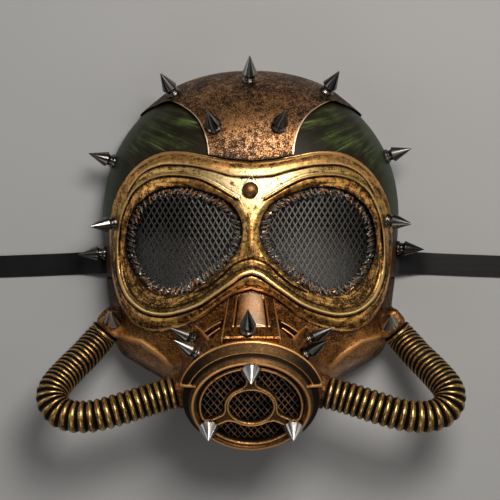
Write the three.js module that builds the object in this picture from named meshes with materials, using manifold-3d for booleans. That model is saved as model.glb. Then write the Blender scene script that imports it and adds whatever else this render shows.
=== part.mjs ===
// A steampunk gas mask, a hollow moulded shell that lies face up on its rim.
// Millimetres. +X is the viewer's right, +Y points to the crown, +Z out of the face.
import * as THREE from 'three';
import { mergeGeometries, mergeVertices } from 'three/addons/utils/BufferGeometryUtils.js';
import Module from 'manifold-3d';

const wasm = await Module();
wasm.setup();

// Driving dimensions
const FIT = 0.3; // clearance between pieces that touch
const WALL = 2.5; // thickness of the moulded shells
const CENTRING = 1.17; // moves the whole mask so that its box is centred on the origin
const FAR = 200; // longer than any cutting tool has to reach
const WELD = 1e-4; // points closer than this are one point
const CLEAR = 0.6; // room round the goggle frame where other pieces are cut back for it

// The head form: stations along Y and the sizes reached there
const HEAD = { halfWidth: 94.5, depth: 77, crown: 111.5, temple: 21, brow: 40, cheek: -45, chin: -104 };
const JAW = [
  { y: 21, half: 94.5 },
  { y: -17, half: 92.5 },
  { y: -40, half: 89.8 },
  { y: -60, half: 87 },
  { y: -67, half: 83 },
  { y: -71.5, half: 75.5 },
  { y: -78, half: 64.6 },
  { y: -84, half: 54 },
  { y: -94, half: 39 },
  { y: -103.7, half: 21 },
];
const CURVE = { crownWidth: 2.15, crownDepth: 2.3, chinNear: 2.2, chinFar: 2 };
const ARCH = { foreheadAcross: 2.3, foreheadUp: 2.3, jawAcross: 3, jawUp: 1.7 };
const MESHING = { crownRows: 8, columns: 18, endAngle: THREE.MathUtils.degToRad(86) };
const SEAM_Y = -17; // where the green crown meets the copper face

// Forehead plate: its lower edge on one side, from the brow out to the rim
const PLATE_THICKNESS = 2.7;
const PLATE_STEPS = 14;
const PLATE_EDGE = [
  { x: 24.5, y: 46 },
  { x: 27.2, y: 67.7 },
  { x: 33, y: 80 },
  { x: 42, y: 88 },
  { x: 51, y: 92.3 },
  { x: 58, y: 90.6 },
  { x: 64, y: 89 },
  { x: 71, y: 86.2 },
];

// Goggles: one eye in polar form, angles turning from the nose side up over the brow
const EYE = { x: 41, y: 5.4 };
const GOGGLES = { wrapRadius: 105, front: 86, browLean: 0.0012, seat: 0.95, cutFrom: 15 };
const FRAME_LINES = { gap: 0.4, reliefWidth: 5, edge: 0.8 };
const EYE_ROWS = [
  { angle: 0, opening: 35.4, ridge: 46, outer: 70 },
  { angle: 15, opening: 37, ridge: 44, outer: 72 },
  { angle: 30, opening: 37.2, ridge: 41, outer: 70 },
  { angle: 45, opening: 35.2, ridge: 39.3, outer: 64.5 },
  { angle: 60, opening: 33, ridge: 38.6, outer: 56 },
  { angle: 75, opening: 32.5, ridge: 39, outer: 53 },
  { angle: 90, opening: 32.9, ridge: 39.6, outer: 53.9 },
  { angle: 105, opening: 33.8, ridge: 41.3, outer: 55.2 },
  { angle: 120, opening: 34.7, ridge: 43, outer: 54.5 },
  { angle: 135, opening: 35.5, ridge: 43.5, outer: 52.5 },
  { angle: 150, opening: 36.3, ridge: 42.2, outer: 50.4 },
  { angle: 165, opening: 36, ridge: 41.2, outer: 48.3 },
  { angle: 180, opening: 35.9, ridge: 41.2, outer: 47.3 },
  { angle: 195, opening: 36.1, ridge: 42.8, outer: 48.3 },
  { angle: 210, opening: 36.2, ridge: 45.8, outer: 51.4 },
  { angle: 225, opening: 36, ridge: 48.4, outer: 56.1 },
  { angle: 240, opening: 35.7, ridge: 48.5, outer: 59.5 },
  { angle: 255, opening: 34.6, ridge: 45.2, outer: 56.5 },
  { angle: 270, opening: 32, ridge: 40.8, outer: 51.1 },
  { angle: 285, opening: 29.6, ridge: 38, outer: 46.7 },
  { angle: 300, opening: 28.1, ridge: 37, outer: 43.6 },
  { angle: 315, opening: 28, ridge: 38, outer: 44.6 },
  { angle: 330, opening: 29.5, ridge: 42, outer: 53 },
  { angle: 345, opening: 32.6, ridge: 46, outer: 63 },
];
// Section of the frame: at 0 the opening, at 1 the gold ridge, at 2 the outer edge
const FRAME_SECTION = [
  { at: 2, shift: 0, rise: -5 },
  { at: 1.55, shift: 0, rise: -0.8 },
  { at: 1, shift: 1.8, rise: -0.6 },
  { at: 1, shift: 0.8, rise: 1.3 },
  { at: 1, shift: -0.8, rise: 1.3 },
  { at: 1, shift: -1.9, rise: -1.2 },
  { at: 0, shift: 0.8, rise: -2 },
  { at: 0, shift: 0, rise: -3.2 },
];
const FRAME_STEP = 12; // degrees between two sections of the frame

// Eye mesh: a curved sheet with diamond gaps
const EYE_MESH = {
  margin: 4, rim: 1, thickness: 1, drop: 1.1, columns: 7, pitchX: 9, pitchY: 14, gapX: 6, gapY: 6,
};
const FILTER_MESH = { thickness: 0.8, pitchX: 8, pitchY: 12, gapX: 5, gapY: 5, edge: 4 };

// Muzzle: everything on it is set out along the filter's own tilted axis
const FILTER = { y: -93, z: 92, tilt: THREE.MathUtils.degToRad(38), sides: 24 };
const TUBE = { radius: 41, front: -8, length: 62 };
const NOSE = { top: 42.6, rise: 1.2, foot: 28, wideFront: 17.5, wideBack: 13, front: -14.2, back: -60 };
// Louvres: slots in the tube's skin beside the nose, placed by their turn from the top of the tube
const LOUVRE = { width: 1.8, depth: 1.3, lean: 18 };
const LOUVRES = [
  { along: -37.3, turn: 34.8, length: 10.7 },
  { along: -31.2, turn: 33.1, length: 6.6 },
];
const NOSE_PANEL = { wideFront: 9, wideBack: 6.4, front: -24, back: -57 };
const HOUSING_SECTION = [
  { r: 28.5, along: -7.7 },
  { r: 40.7, along: -7.7 },
  { r: 40.7, along: -6.4 },
  { r: 37.4, along: -4.4 },
  { r: 36.4, along: -1.4 },
  { r: 35, along: 0 },
  { r: 32.6, along: 0 },
  { r: 31.5, along: -0.8 },
  { r: 31.5, along: -5 },
  { r: 28.5, along: -5 },
];
const COLLAR_SECTION = [
  { r: 41.4, along: -7.7 },
  { r: 41.4, along: -13.2 },
  { r: 44.6, along: -12.6 },
  { r: 44.6, along: -11 },
  { r: 40.4, along: -5.6 },
  { r: 38.2, along: -5.6 },
  { r: 38.2, along: -7.7 },
];
const COLLAR_ARC = { from: 20, to: 160, steps: 12 };
const GRILLE = { radius: 31.2, back: -3.6, hub: 13, segments: 14 };
const WINDOW = { inner: 17.4, outer: 29.6, half: 46, corner: 7, inset: 2.4, innerSteps: 5, outerSteps: 7 };
const GRILLE_WINDOWS = [30, 150, 270];

// Hoses: the centre line of the right one, from the cheek port to the muzzle
const HOSE = { portCrest: 9.6, muzzleCrest: 10.1, groove: 1.6, ribs: 38, sides: 7 };
const HOSE_ROUTE = [
  { x: 90.9, y: -50.6, z: 25.5 },
  { x: 93.5, y: -53.7, z: 25.5 },
  { x: 96.1, y: -56.7, z: 26.9 },
  { x: 98.4, y: -59.5, z: 29.5 },
  { x: 101.1, y: -62.7, z: 33.3 },
  { x: 104.3, y: -66.4, z: 38 },
  { x: 109, y: -71.1, z: 45 },
  { x: 113.5, y: -76, z: 51.2 },
  { x: 116.7, y: -79.8, z: 55.7 },
  { x: 119.3, y: -83.5, z: 59.2 },
  { x: 120.8, y: -87.8, z: 62.1 },
  { x: 119.8, y: -93, z: 64.7 },
  { x: 115.3, y: -97.8, z: 67.2 },
  { x: 107.4, y: -100.3, z: 69.5 },
  { x: 95.5, y: -100, z: 71 },
  { x: 81.1, y: -96.5, z: 70.6 },
  { x: 66.8, y: -92.1, z: 69.1 },
  { x: 55.4, y: -88.6, z: 67.6 },
  { x: 45.9, y: -86.2, z: 66.6 },
];
const PORT = { width: 18, depth: 13, low: 9, high: 37 };
const SOCKET = { radius: 10.4, length: 16, sides: 14 };

// Ribbons: a strip glued inside the wall that leaves through a slot and lies on the floor
const RIBBON = { width: 14, thickness: 1 };
const RIBBON_SLOT = { y: -8, z: 6.9, width: 16, height: 2.8, length: 16 };
const RIBBON_ROUTE = [
  { x: 85, y: -8, z: 25 },
  { x: 87.3, y: -8, z: 13 },
  { x: 88, y: -8, z: 9 },
  { x: 89.6, y: -8, z: 7.1 },
  { x: 95, y: -8, z: 6.6 },
  { x: 101, y: -8.1, z: 4.4 },
  { x: 108, y: -8.4, z: 1.7 },
  { x: 116, y: -8.9, z: 0.55 },
  { x: 140, y: -9.9, z: 0.5 },
  { x: 168, y: -10.9, z: 0.5 },
];

// Spikes: radius and height along two turned shapes
const SPIKE_SIDES = 8;
const SPIKE_SECTIONS = {
  screw: [
    { r: 0, h: 0 },
    { r: 4.5, h: 0 },
    { r: 4.5, h: 1.5 },
    { r: 3.3, h: 2.4 },
    { r: 3.3, h: 4.2 },
    { r: 4.8, h: 5.2 },
    { r: 0, h: 17.2 },
  ],
  cone: [
    { r: 0, h: 0 },
    { r: 5.8, h: 0 },
    { r: 5.8, h: 1.2 },
    { r: 0, h: 11.8 },
  ],
};
// Where each spike stands and where it points; a paired row is repeated on the other side.
// A pair may sit aside of the middle, or unevenly, its right spike higher than its left.
const SPIKES = [
  { name: 'spike_crown_top', kind: 'screw', on: 'forehead_plate',
    x: -0.8, y: 103, z: 47, dx: 0, dy: 0.87, dz: 0.5 },
  { name: 'spike_crown', kind: 'screw', on: 'forehead_plate', pair: true,
    x: 46, y: 95.6, z: 39, dx: 0.46, dy: 0.7, dz: 0.55, aside: -0.6, uneven: 0.8 },
  { name: 'spike_forehead', kind: 'screw', on: 'forehead_plate', pair: true,
    x: 18.6, y: 72.4, z: 72, dx: 0.25, dy: 0.53, dz: 0.81, aside: -2.8 },
  { name: 'spike_temple', kind: 'screw', on: 'crown_shell', pair: true,
    x: 83.5, y: 56.5, z: 25, dx: 0.9, dy: 0.28, dz: 0.32, uneven: 1.7 },
  { name: 'spike_goggle', kind: 'screw', on: 'goggle_frame', pair: true,
    x: 83, y: 17.4, z: 44, dx: 0.84, dy: -0.12, dz: 0.53, uneven: 0.8 },
  { name: 'spike_ear', kind: 'screw', on: 'crown_shell', pair: true,
    x: 92.3, y: -0.2, z: 15, dx: 0.99, dy: -0.06, dz: 0.12, uneven: 1.6 },
  { name: 'spike_port', kind: 'cone', on: 'face_shell', pair: true,
    x: 85.5, y: -44.8, z: 37, dx: 0.06, dy: 0.2, dz: 0.98, uneven: -1.2 },
  { name: 'spike_muzzle_top', kind: 'screw', on: 'face_shell',
    x: -1.8, y: -48.2, z: 103.6, dx: 0, dy: 0.79, dz: 0.61 },
  { name: 'spike_cheek_upper', kind: 'screw', on: 'face_shell', pair: true,
    x: 34.3, y: -53.5, z: 78, dx: 0.837, dy: 0.433, dz: 0.338 },
  { name: 'spike_cheek_lower', kind: 'screw', on: 'face_shell', pair: true,
    x: 31.9, y: -61.2, z: 93.2, dx: 0.777, dy: 0.496, dz: 0.387 },
];
const FILTER_SPIKES = [
  { name: 'spike_filter_top', angle: 90 },
  { name: 'spike_filter_left', angle: 212 },
  { name: 'spike_filter_right', angle: 328 },
];
const FILTER_SPIKE_RADIUS = 29.6;
const RIVET = { x: -0.5, y: 35.6, radius: 4.9, height: 3.4, lean: 0.07, steps: 4 };
const SEAT_REACH = 50; // how far off a spike starts its way down to the piece that carries it

// Finishes
const FINISH = {
  green: { color: 0x2f4a33, roughness: 0.4, metalness: 0.2 },
  copper: { color: 0x7a4a28, roughness: 0.45, metalness: 0.8 },
  gold: { color: 0xb08a45, roughness: 0.4, metalness: 0.85 },
  bronze: { color: 0x4a3018, roughness: 0.5, metalness: 0.8 },
  nickel: { color: 0x9a9a9c, roughness: 0.2, metalness: 1 },
  wire: { color: 0x55524c, roughness: 0.45, metalness: 0.9 },
  satin: { color: 0x0b0b0d, roughness: 0.4, metalness: 0 },
};

// Solids: closed meshes joined and cut as whole bodies
function solid(geometry) {
  const bare = geometry.clone();
  for (const name of ['normal', 'uv']) bare.deleteAttribute(name);
  const welded = mergeVertices(bare, WELD);
  const corners = welded.index.array;
  const triangles = [];
  for (let i = 0; i < corners.length; i += 3) {
    const [a, b, c] = corners.subarray(i, i + 3);
    if (a !== b && b !== c && c !== a) triangles.push([a, b, c]);
  }
  const body = (order) => new wasm.Manifold(new wasm.Mesh({
    numProp: 3,
    vertProperties: welded.attributes.position.array,
    triVerts: new Uint32Array(triangles.flatMap(order)),
  }));
  const first = body(([a, b, c]) => [a, b, c]);
  return first.volume() > 0 ? first : body(([a, b, c]) => [a, c, b]);
}

function geometryOf(body) {
  const { vertProperties, triVerts } = body.getMesh();
  const geometry = new THREE.BufferGeometry();
  geometry.setAttribute('position', new THREE.BufferAttribute(vertProperties, 3));
  geometry.setIndex(new THREE.BufferAttribute(triVerts, 1));
  geometry.computeVertexNormals();
  return geometry;
}

// A skin through rings of points, capped from each end ring's first point or closed on itself
function loft(rings, closed = false, wanted = () => true) {
  const count = rings[0].length;
  const index = [];
  const spans = closed ? rings.length : rings.length - 1;
  for (let i = 0; i < spans; i++) {
    const near = i * count;
    const far = ((i + 1) % rings.length) * count;
    for (let j = 0; j < count; j++) {
      const next = (j + 1) % count;
      if (wanted(i, j)) index.push(near + j, far + j, far + next, near + j, far + next, near + next);
    }
  }
  if (!closed) {
    const last = (rings.length - 1) * count;
    for (let j = 1; j < count - 1; j++) {
      index.push(0, j, j + 1, last, last + j + 1, last + j);
    }
  }
  const geometry = new THREE.BufferGeometry().setFromPoints(rings.flat());
  geometry.setIndex(index);
  return geometry;
}

function prism(points, low, high) {
  const outline = new THREE.Shape(points);
  const geometry = new THREE.ExtrudeGeometry(outline, { depth: high - low, bevelEnabled: false });
  return geometry.translate(0, 0, low);
}

function block(lowX, highX, lowY, highY, lowZ, highZ) {
  const geometry = new THREE.BoxGeometry(highX - lowX, highY - lowY, highZ - lowZ);
  return geometry.translate((lowX + highX) / 2, (lowY + highY) / 2, (lowZ + highZ) / 2);
}

// The same shape on the other side of the middle plane, its faces turned to point out again
function flipped(geometry) {
  const copy = geometry.clone().scale(-1, 1, 1);
  copy.setIndex(Array.from(copy.index.array).reverse());
  return copy;
}

const mirrored = (points) => points.map(({ x, ...rest }) => ({ ...rest, x: -x }));
const vectors = (points) => points.map(({ x, y, z }) => new THREE.Vector3(x, y, z));

// The head form, grown or shrunk evenly
const fall = (share, near, far) => Math.max(0, 1 - share ** near) ** (1 / far);

// How far growing the form stretches it from the temples down to the chin
const jawStretch = (grow) => 1 + grow / (HEAD.temple - HEAD.chin);

function halfWidth(y, grow) {
  if (y > HEAD.temple) {
    const up = (y - HEAD.temple) / (HEAD.crown + grow - HEAD.temple);
    return (HEAD.halfWidth + grow) * fall(up, CURVE.crownWidth, CURVE.crownWidth);
  }
  const place = HEAD.temple - (HEAD.temple - y) / jawStretch(grow);
  const below = JAW.findIndex((row) => row.y <= place);
  const low = JAW.at(below);
  const high = JAW.at(Math.max(below, 1) - 1);
  const share = high.y > low.y ? (place - low.y) / (high.y - low.y) : 0;
  return grow + THREE.MathUtils.lerp(low.half, high.half, share);
}

function crest(y, grow) {
  const up = Math.max(0, (y - HEAD.brow) / (HEAD.crown + grow - HEAD.brow));
  const down = Math.max(0, (HEAD.cheek - y) / (HEAD.cheek - HEAD.chin + grow));
  const crown = fall(up, CURVE.crownDepth, CURVE.crownDepth);
  return (HEAD.depth + grow) * crown * fall(down, CURVE.chinNear, CURVE.chinFar);
}

function archPower(y) {
  const jaw = THREE.MathUtils.smoothstep(HEAD.temple - y, 0, HEAD.temple - HEAD.cheek);
  return {
    across: THREE.MathUtils.lerp(ARCH.foreheadAcross, ARCH.jawAcross, jaw),
    up: THREE.MathUtils.lerp(ARCH.foreheadUp, ARCH.jawUp, jaw),
  };
}

function formHeight(x, y, grow) {
  const { across, up } = archPower(y);
  return crest(y, grow) * fall(Math.min(1, Math.abs(x) / halfWidth(y, grow)), across, up);
}

function archRing(y, grow, floor) {
  const width = halfWidth(y, grow);
  const height = crest(y, grow);
  const { across, up } = archPower(y);
  const ring = [];
  for (let j = 0; j <= MESHING.columns; j++) {
    const turn = Math.PI * j / MESHING.columns;
    const side = Math.cos(turn);
    const x = width * Math.sign(side) * Math.abs(side) ** (2 / across);
    const z = height * Math.max(0, Math.sin(turn)) ** (2 / up);
    ring.push(new THREE.Vector3(x, y, z));
  }
  if (floor < 0) ring.push(new THREE.Vector3(-width, y, floor), new THREE.Vector3(width, y, floor));
  return ring;
}

function formSolid(grow, floor = 0) {
  const rings = [];
  const { crownRows, endAngle } = MESHING;
  for (let i = crownRows; i > 0; i--) {
    const reach = (HEAD.crown + grow - HEAD.temple) * Math.sin(endAngle * i / crownRows);
    rings.push(archRing(HEAD.temple + reach, grow, floor));
  }
  for (const { y } of JAW) {
    rings.push(archRing(HEAD.temple - (HEAD.temple - y) * jawStretch(grow), grow, floor));
  }
  return solid(loft(rings));
}

// The goggles: outlines read from the polar rows with a smooth closed curve
function eyeRadius(column, angle) {
  const step = 360 / EYE_ROWS.length;
  const place = ((angle % 360) + 360) % 360 / step;
  const row = Math.floor(place);
  const t = place - row;
  const at = (i) => EYE_ROWS[(row + i + EYE_ROWS.length) % EYE_ROWS.length][column];
  const slopeIn = (at(1) - at(-1)) / 2;
  const slopeOut = (at(2) - at(0)) / 2;
  const bend = 2 * at(0) - 2 * at(1) + slopeIn + slopeOut;
  const lift = -3 * at(0) + 3 * at(1) - 2 * slopeIn - slopeOut;
  return ((bend * t + lift) * t + slopeIn) * t + at(0);
}

// Distance from the eye's centre to the middle plane, where the two halves of the frame join
function middleRadius(angle) {
  const toNose = Math.cos(THREE.MathUtils.degToRad(angle));
  return toNose > 0 ? Math.min(EYE.x / toNose, FAR) : FAR;
}

// A point round the eye on the viewer's left; angle 0 points to the nose
function eyePoint(angle, radius) {
  const turn = THREE.MathUtils.degToRad(angle);
  return new THREE.Vector2(-EYE.x + radius * Math.cos(turn), EYE.y + radius * Math.sin(turn));
}

// Even steps round the eye, with one more where the outer edge meets the middle plane
function frameAngles() {
  const excess = (angle) => eyeRadius('outer', angle) - middleRadius(angle);
  const angles = [];
  for (let angle = 0; angle < 360; angle += FRAME_STEP) {
    angles.push(angle);
    const next = angle + FRAME_STEP;
    if (excess(angle) * excess(next) < 0) {
      angles.push(angle + FRAME_STEP * excess(angle) / (excess(angle) - excess(next)));
    }
  }
  return angles;
}

const meetsMiddle = (angle) => eyeRadius('outer', angle) > middleRadius(angle) - FIT;

function goggleFace(x, y) {
  const wrap = GOGGLES.wrapRadius - Math.sqrt(GOGGLES.wrapRadius ** 2 - x ** 2);
  return GOGGLES.front - wrap - GOGGLES.browLean * Math.max(0, y - EYE.y) ** 2;
}

const frameBack = (x, y) => formHeight(x, y, 0) + GOGGLES.seat;

// Section of the frame at one angle: its front, then its back, which lies just off the shell
function frameRing(angle) {
  const opening = eyeRadius('opening', angle);
  const ridge = eyeRadius('ridge', angle);
  const outer = meetsMiddle(angle) ? middleRadius(angle) : eyeRadius('outer', angle);
  const relief = THREE.MathUtils.clamp((outer - ridge) / FRAME_LINES.reliefWidth, 0, 1);
  const edgeDrop = eyeRadius('outer', angle) > outer + FIT ? 0 : 1;
  const front = FRAME_SECTION.map(({ at, shift, rise }, i) => {
    const aim = at < 1 ? opening : ridge + (outer - ridge) * (at - 1);
    const spaced = Math.min(aim + shift, outer - i * FRAME_LINES.gap);
    const { x, y } = eyePoint(angle, at === 2 ? outer : Math.max(spaced, opening));
    const share = { 0: 1, 2: edgeDrop }[at] ?? relief;
    const height = Math.max(goggleFace(x, y) + rise * share, frameBack(x, y) + FRAME_LINES.edge);
    return new THREE.Vector3(x, y, height);
  });
  const back = [opening, (opening + outer) / 2, outer].map((radius) => {
    const { x, y } = eyePoint(angle, radius);
    return new THREE.Vector3(x, y, frameBack(x, y));
  });
  return [...front, ...back];
}

// Both halves share their points on the middle plane, where neither has a wall
function goggleFrame() {
  const angles = frameAngles();
  const rings = angles.map(frameRing);
  const walled = (i) => !meetsMiddle(angles[i]) || !meetsMiddle(angles[(i + 1) % angles.length]);
  const left = loft(rings, true, (i, j) => j < rings[i].length - 1 || walled(i));
  return solid(mergeGeometries([left, flipped(left)]));
}

function frameOutline(grow) {
  const half = frameAngles()
    .filter((angle) => eyeRadius('outer', angle) <= middleRadius(angle) + FIT)
    .map((angle) => eyePoint(angle, eyeRadius('outer', angle) + grow));
  const inner = half.map(({ x, y }) => new THREE.Vector2(Math.min(x, 0), y));
  return [...inner, ...inner.toReversed().map(({ x, y }) => new THREE.Vector2(-x, y))];
}

function eyeOutline(grow) {
  const points = [];
  for (let angle = 0; angle < 360; angle += FRAME_STEP) {
    points.push(eyePoint(angle, eyeRadius('opening', angle) + grow));
  }
  return points;
}

// The muzzle's own frame: x across, y up along the ring, z out along the filter's axis
const alongFilter = new THREE.Matrix4()
  .makeRotationX(FILTER.tilt)
  .setPosition(0, FILTER.y, FILTER.z);
const onFilter = (geometry) => geometry.applyMatrix4(alongFilter);

function turned(section, sides) {
  const points = section.map(({ r, along }) => new THREE.Vector2(r, along));
  return new THREE.LatheGeometry([...points, points[0]], sides).rotateX(Math.PI / 2);
}

function tube(radius, front, length) {
  const geometry = new THREE.CylinderGeometry(radius, radius, length, FILTER.sides).rotateX(Math.PI / 2);
  return onFilter(geometry.translate(0, 0, front - length / 2));
}

function noseStep({ wideFront, wideBack, front, back }, low, high) {
  const outline = [
    new THREE.Vector2(-wideFront, front),
    new THREE.Vector2(-wideBack, back),
    new THREE.Vector2(wideBack, back),
    new THREE.Vector2(wideFront, front),
  ];
  const swap = new THREE.Matrix4().set(1, 0, 0, 0, 0, 0, 1, 0, 0, 1, 0, 0, 0, 0, 0, 1);
  return onFilter(prism(outline, low, high).applyMatrix4(swap));
}

// Hoses
const hoseCurve = (side) => new THREE.CatmullRomCurve3(
  vectors(side > 0 ? HOSE_ROUTE : mirrored(HOSE_ROUTE)),
);

function hoseSolid(side) {
  const curve = hoseCurve(side);
  const steps = HOSE.ribs * 2;
  const frames = curve.computeFrenetFrames(steps);
  const rings = [];
  for (let i = 0; i <= steps; i++) {
    const crestRadius = THREE.MathUtils.lerp(HOSE.portCrest, HOSE.muzzleCrest, i / steps);
    const radius = i % 2 ? crestRadius : crestRadius - HOSE.groove;
    const centre = curve.getPointAt(i / steps);
    const ring = [];
    for (let j = 0; j < HOSE.sides; j++) {
      const turn = 2 * Math.PI * j / HOSE.sides;
      const point = centre.clone();
      point.addScaledVector(frames.normals[i], radius * Math.cos(turn));
      point.addScaledVector(frames.binormals[i], radius * Math.sin(turn));
      ring.push(point);
    }
    rings.push(ring);
  }
  return solid(loft(rings));
}

// A block on the cheek whose outer face the hose leaves squarely
function portSolid(side) {
  const curve = hoseCurve(side);
  const start = curve.getPointAt(0);
  const away = curve.getTangentAt(0);
  const geometry = block(-PORT.width / 2, PORT.width / 2, -PORT.depth, -FIT, PORT.low, PORT.high);
  const heading = Math.atan2(away.y, away.x) - Math.PI / 2;
  return solid(geometry.rotateZ(heading).translate(start.x, start.y, 0));
}

// A short spigot on the muzzle that the hose's other end meets
function socketSolid(side) {
  const curve = hoseCurve(side);
  const end = curve.getPointAt(1);
  const inward = curve.getTangentAt(1);
  const { radius, length, sides } = SOCKET;
  const geometry = new THREE.CylinderGeometry(radius, radius, length, sides);
  geometry.translate(0, length / 2 + FIT, 0);
  const turn = new THREE.Quaternion().setFromUnitVectors(new THREE.Vector3(0, 1, 0), inward);
  return solid(geometry.applyQuaternion(turn).translate(end.x, end.y, end.z));
}

// Shells
const crownZone = solid(block(-FAR, FAR, SEAM_Y + FIT / 2, FAR, -FAR, FAR));
const faceZone = solid(block(-FAR, FAR, -FAR, SEAM_Y - FIT / 2, -FAR, FAR));
const hollow = formSolid(-WALL, -WALL);
const leftEye = prism(eyeOutline(CLEAR), GOGGLES.cutFrom, FAR);
const eyes = solid(leftEye).add(solid(leftEye.clone().scale(-1, 1, 1)));

function crownShell() {
  const { y, z, width, height, length } = RIBBON_SLOT;
  const reach = [HEAD.halfWidth - length / 2, HEAD.halfWidth + length / 2];
  const sides = [y - width / 2, y + width / 2, z - height / 2, z + height / 2];
  const slot = (low, high) => solid(block(low, high, ...sides));
  return formSolid(0).subtract(hollow).intersect(crownZone).subtract(eyes)
    .subtract(slot(reach[0], reach[1]))
    .subtract(slot(-reach[1], -reach[0]));
}

function faceShell() {
  let outside = formSolid(0).intersect(faceZone);
  outside = outside.add(solid(tube(TUBE.radius, TUBE.front, TUBE.length)).intersect(faceZone));
  outside = outside.add(solid(noseStep(NOSE, NOSE.foot, NOSE.top)).intersect(faceZone));
  outside = outside.add(solid(noseStep(NOSE_PANEL, NOSE.foot, NOSE.top + NOSE.rise)).intersect(faceZone));
  for (const side of [-1, 1]) outside = outside.add(portSolid(side)).add(socketSolid(side));
  const airway = solid(tube(TUBE.radius - WALL, TUBE.front + WALL, TUBE.length + 2 * WALL));
  const shell = outside.subtract(hollow).subtract(airway).subtract(eyes).subtract(goggleClearance());
  const slots = [-1, 1].flatMap((side) => LOUVRES.map((row) => louvreSolid(side, row)));
  return slots.reduce((body, slot) => body.subtract(slot), shell);
}

function louvreSolid(side, { along, turn, length }) {
  const { width, depth, lean } = LOUVRE;
  const slot = block(-length / 2, length / 2, -width / 2, width / 2, -depth, depth);
  slot.rotateZ(-side * THREE.MathUtils.degToRad(lean)).rotateX(-Math.PI / 2);
  slot.translate(0, TUBE.radius, along).rotateZ(-side * THREE.MathUtils.degToRad(turn));
  return solid(onFilter(slot));
}

// Room under the goggle frame, so that the nose block and the tube stop clear of it
function goggleClearance() {
  const footprint = solid(prism(frameOutline(FIT), GOGGLES.cutFrom, FAR));
  return footprint.subtract(formSolid(0, -FAR));
}

function foreheadPlate() {
  const edge = new THREE.SplineCurve(PLATE_EDGE.map(({ x, y }) => new THREE.Vector2(x, y)));
  const corners = [new THREE.Vector2(FAR, PLATE_EDGE.at(-1).y), new THREE.Vector2(FAR, FAR)];
  const side = [...edge.getPoints(PLATE_STEPS), ...corners];
  const outline = [...side, ...side.toReversed().map(({ x, y }) => new THREE.Vector2(-x, y))];
  const layer = formSolid(FIT + PLATE_THICKNESS).subtract(formSolid(FIT, -FAR));
  const footprint = solid(prism(frameOutline(CLEAR), -FAR, FAR));
  return layer.intersect(solid(prism(outline, -FAR, FAR))).subtract(footprint);
}

// Meshes: thin sheets pierced by rows of diamonds
function diamonds({ pitchX, pitchY, gapX, gapY }, inside, span) {
  const gaps = [];
  const columns = Math.ceil(span / pitchX);
  const rows = Math.ceil(span / pitchY);
  const tips = [[gapX, 0], [0, gapY], [-gapX, 0], [0, -gapY]];
  for (let i = -columns; i <= columns; i++) {
    for (let j = -rows; j <= rows; j++) {
      const x = i * pitchX;
      const y = (j + (Math.abs(i) % 2) / 2) * pitchY;
      const corners = tips.map(([dx, dy]) => new THREE.Vector2(x + dx, y + dy));
      if (corners.every(inside)) gaps.push(prism(corners, -FAR, FAR));
    }
  }
  return mergeGeometries(gaps);
}

function eyeSheetHeight(x) {
  const ends = [90, 270].map((angle) => eyePoint(angle, eyeRadius('opening', angle)).y);
  const heights = [EYE.y, ...ends].map((y) => formHeight(x, y, -WALL));
  return Math.min(...heights) - EYE_MESH.drop;
}

function eyeMesh() {
  const { margin, rim, thickness, columns } = EYE_MESH;
  const outline = eyeOutline(margin);
  const xs = outline.map(({ x }) => x);
  const [low, high] = [Math.min(...xs) - margin, Math.max(...xs) + margin];
  const reach = EYE.x + margin;
  const rings = [];
  for (let i = 0; i <= columns; i++) {
    const x = THREE.MathUtils.lerp(low, high, i / columns);
    const top = eyeSheetHeight(x);
    const corner = (y, z) => new THREE.Vector3(x, EYE.y + y, z);
    rings.push([
      corner(-reach, top),
      corner(reach, top),
      corner(reach, top - thickness),
      corner(-reach, top - thickness),
    ]);
  }
  const sheet = solid(loft(rings)).intersect(solid(prism(outline, -FAR, FAR)));
  const inside = ({ x, y }) => {
    const angle = THREE.MathUtils.radToDeg(Math.atan2(y, x));
    return Math.hypot(x, y) < eyeRadius('opening', angle) - rim;
  };
  const gaps = diamonds(EYE_MESH, inside, EYE.x).translate(-EYE.x, EYE.y, 0);
  return sheet.subtract(solid(gaps));
}

// Filter
function filterHousing() {
  const rings = [];
  for (let i = 0; i <= COLLAR_ARC.steps; i++) {
    const share = i / COLLAR_ARC.steps;
    const turn = THREE.MathUtils.degToRad(THREE.MathUtils.lerp(COLLAR_ARC.from, COLLAR_ARC.to, share));
    rings.push(COLLAR_SECTION.map(
      ({ r, along }) => new THREE.Vector3(r * Math.cos(turn), r * Math.sin(turn), along),
    ));
  }
  const ring = solid(onFilter(turned(HOUSING_SECTION, FILTER.sides)));
  return ring.add(solid(onFilter(loft(rings))));
}

function grilleWindow(middle) {
  const { inner, outer, half, corner, inset, innerSteps, outerSteps } = WINDOW;
  const at = (radius, angle) => {
    const turn = THREE.MathUtils.degToRad(middle + angle);
    return new THREE.Vector2(radius * Math.cos(turn), radius * Math.sin(turn));
  };
  const points = [];
  const arc = (radius, from, to, steps) => {
    for (let i = 0; i <= steps; i++) points.push(at(radius, THREE.MathUtils.lerp(from, to, i / steps)));
  };
  arc(outer, -half + corner, half - corner, outerSteps);
  points.push(at(outer - inset, half));
  points.push(at(inner + inset, half));
  arc(inner, half - corner, -half + corner, innerSteps);
  points.push(at(inner + inset, -half));
  points.push(at(outer - inset, -half));
  return new THREE.Path(points);
}

function filterGrille() {
  const disc = new THREE.Shape().absarc(0, 0, GRILLE.radius, 0, 2 * Math.PI);
  disc.holes.push(new THREE.Path().absarc(0, 0, GRILLE.hub, 0, 2 * Math.PI, true));
  for (const middle of GRILLE_WINDOWS) disc.holes.push(grilleWindow(middle));
  const sweep = { depth: -GRILLE.back, bevelEnabled: false, curveSegments: GRILLE.segments };
  const geometry = new THREE.ExtrudeGeometry(disc, sweep);
  return solid(onFilter(geometry.translate(0, 0, GRILLE.back)));
}

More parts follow.
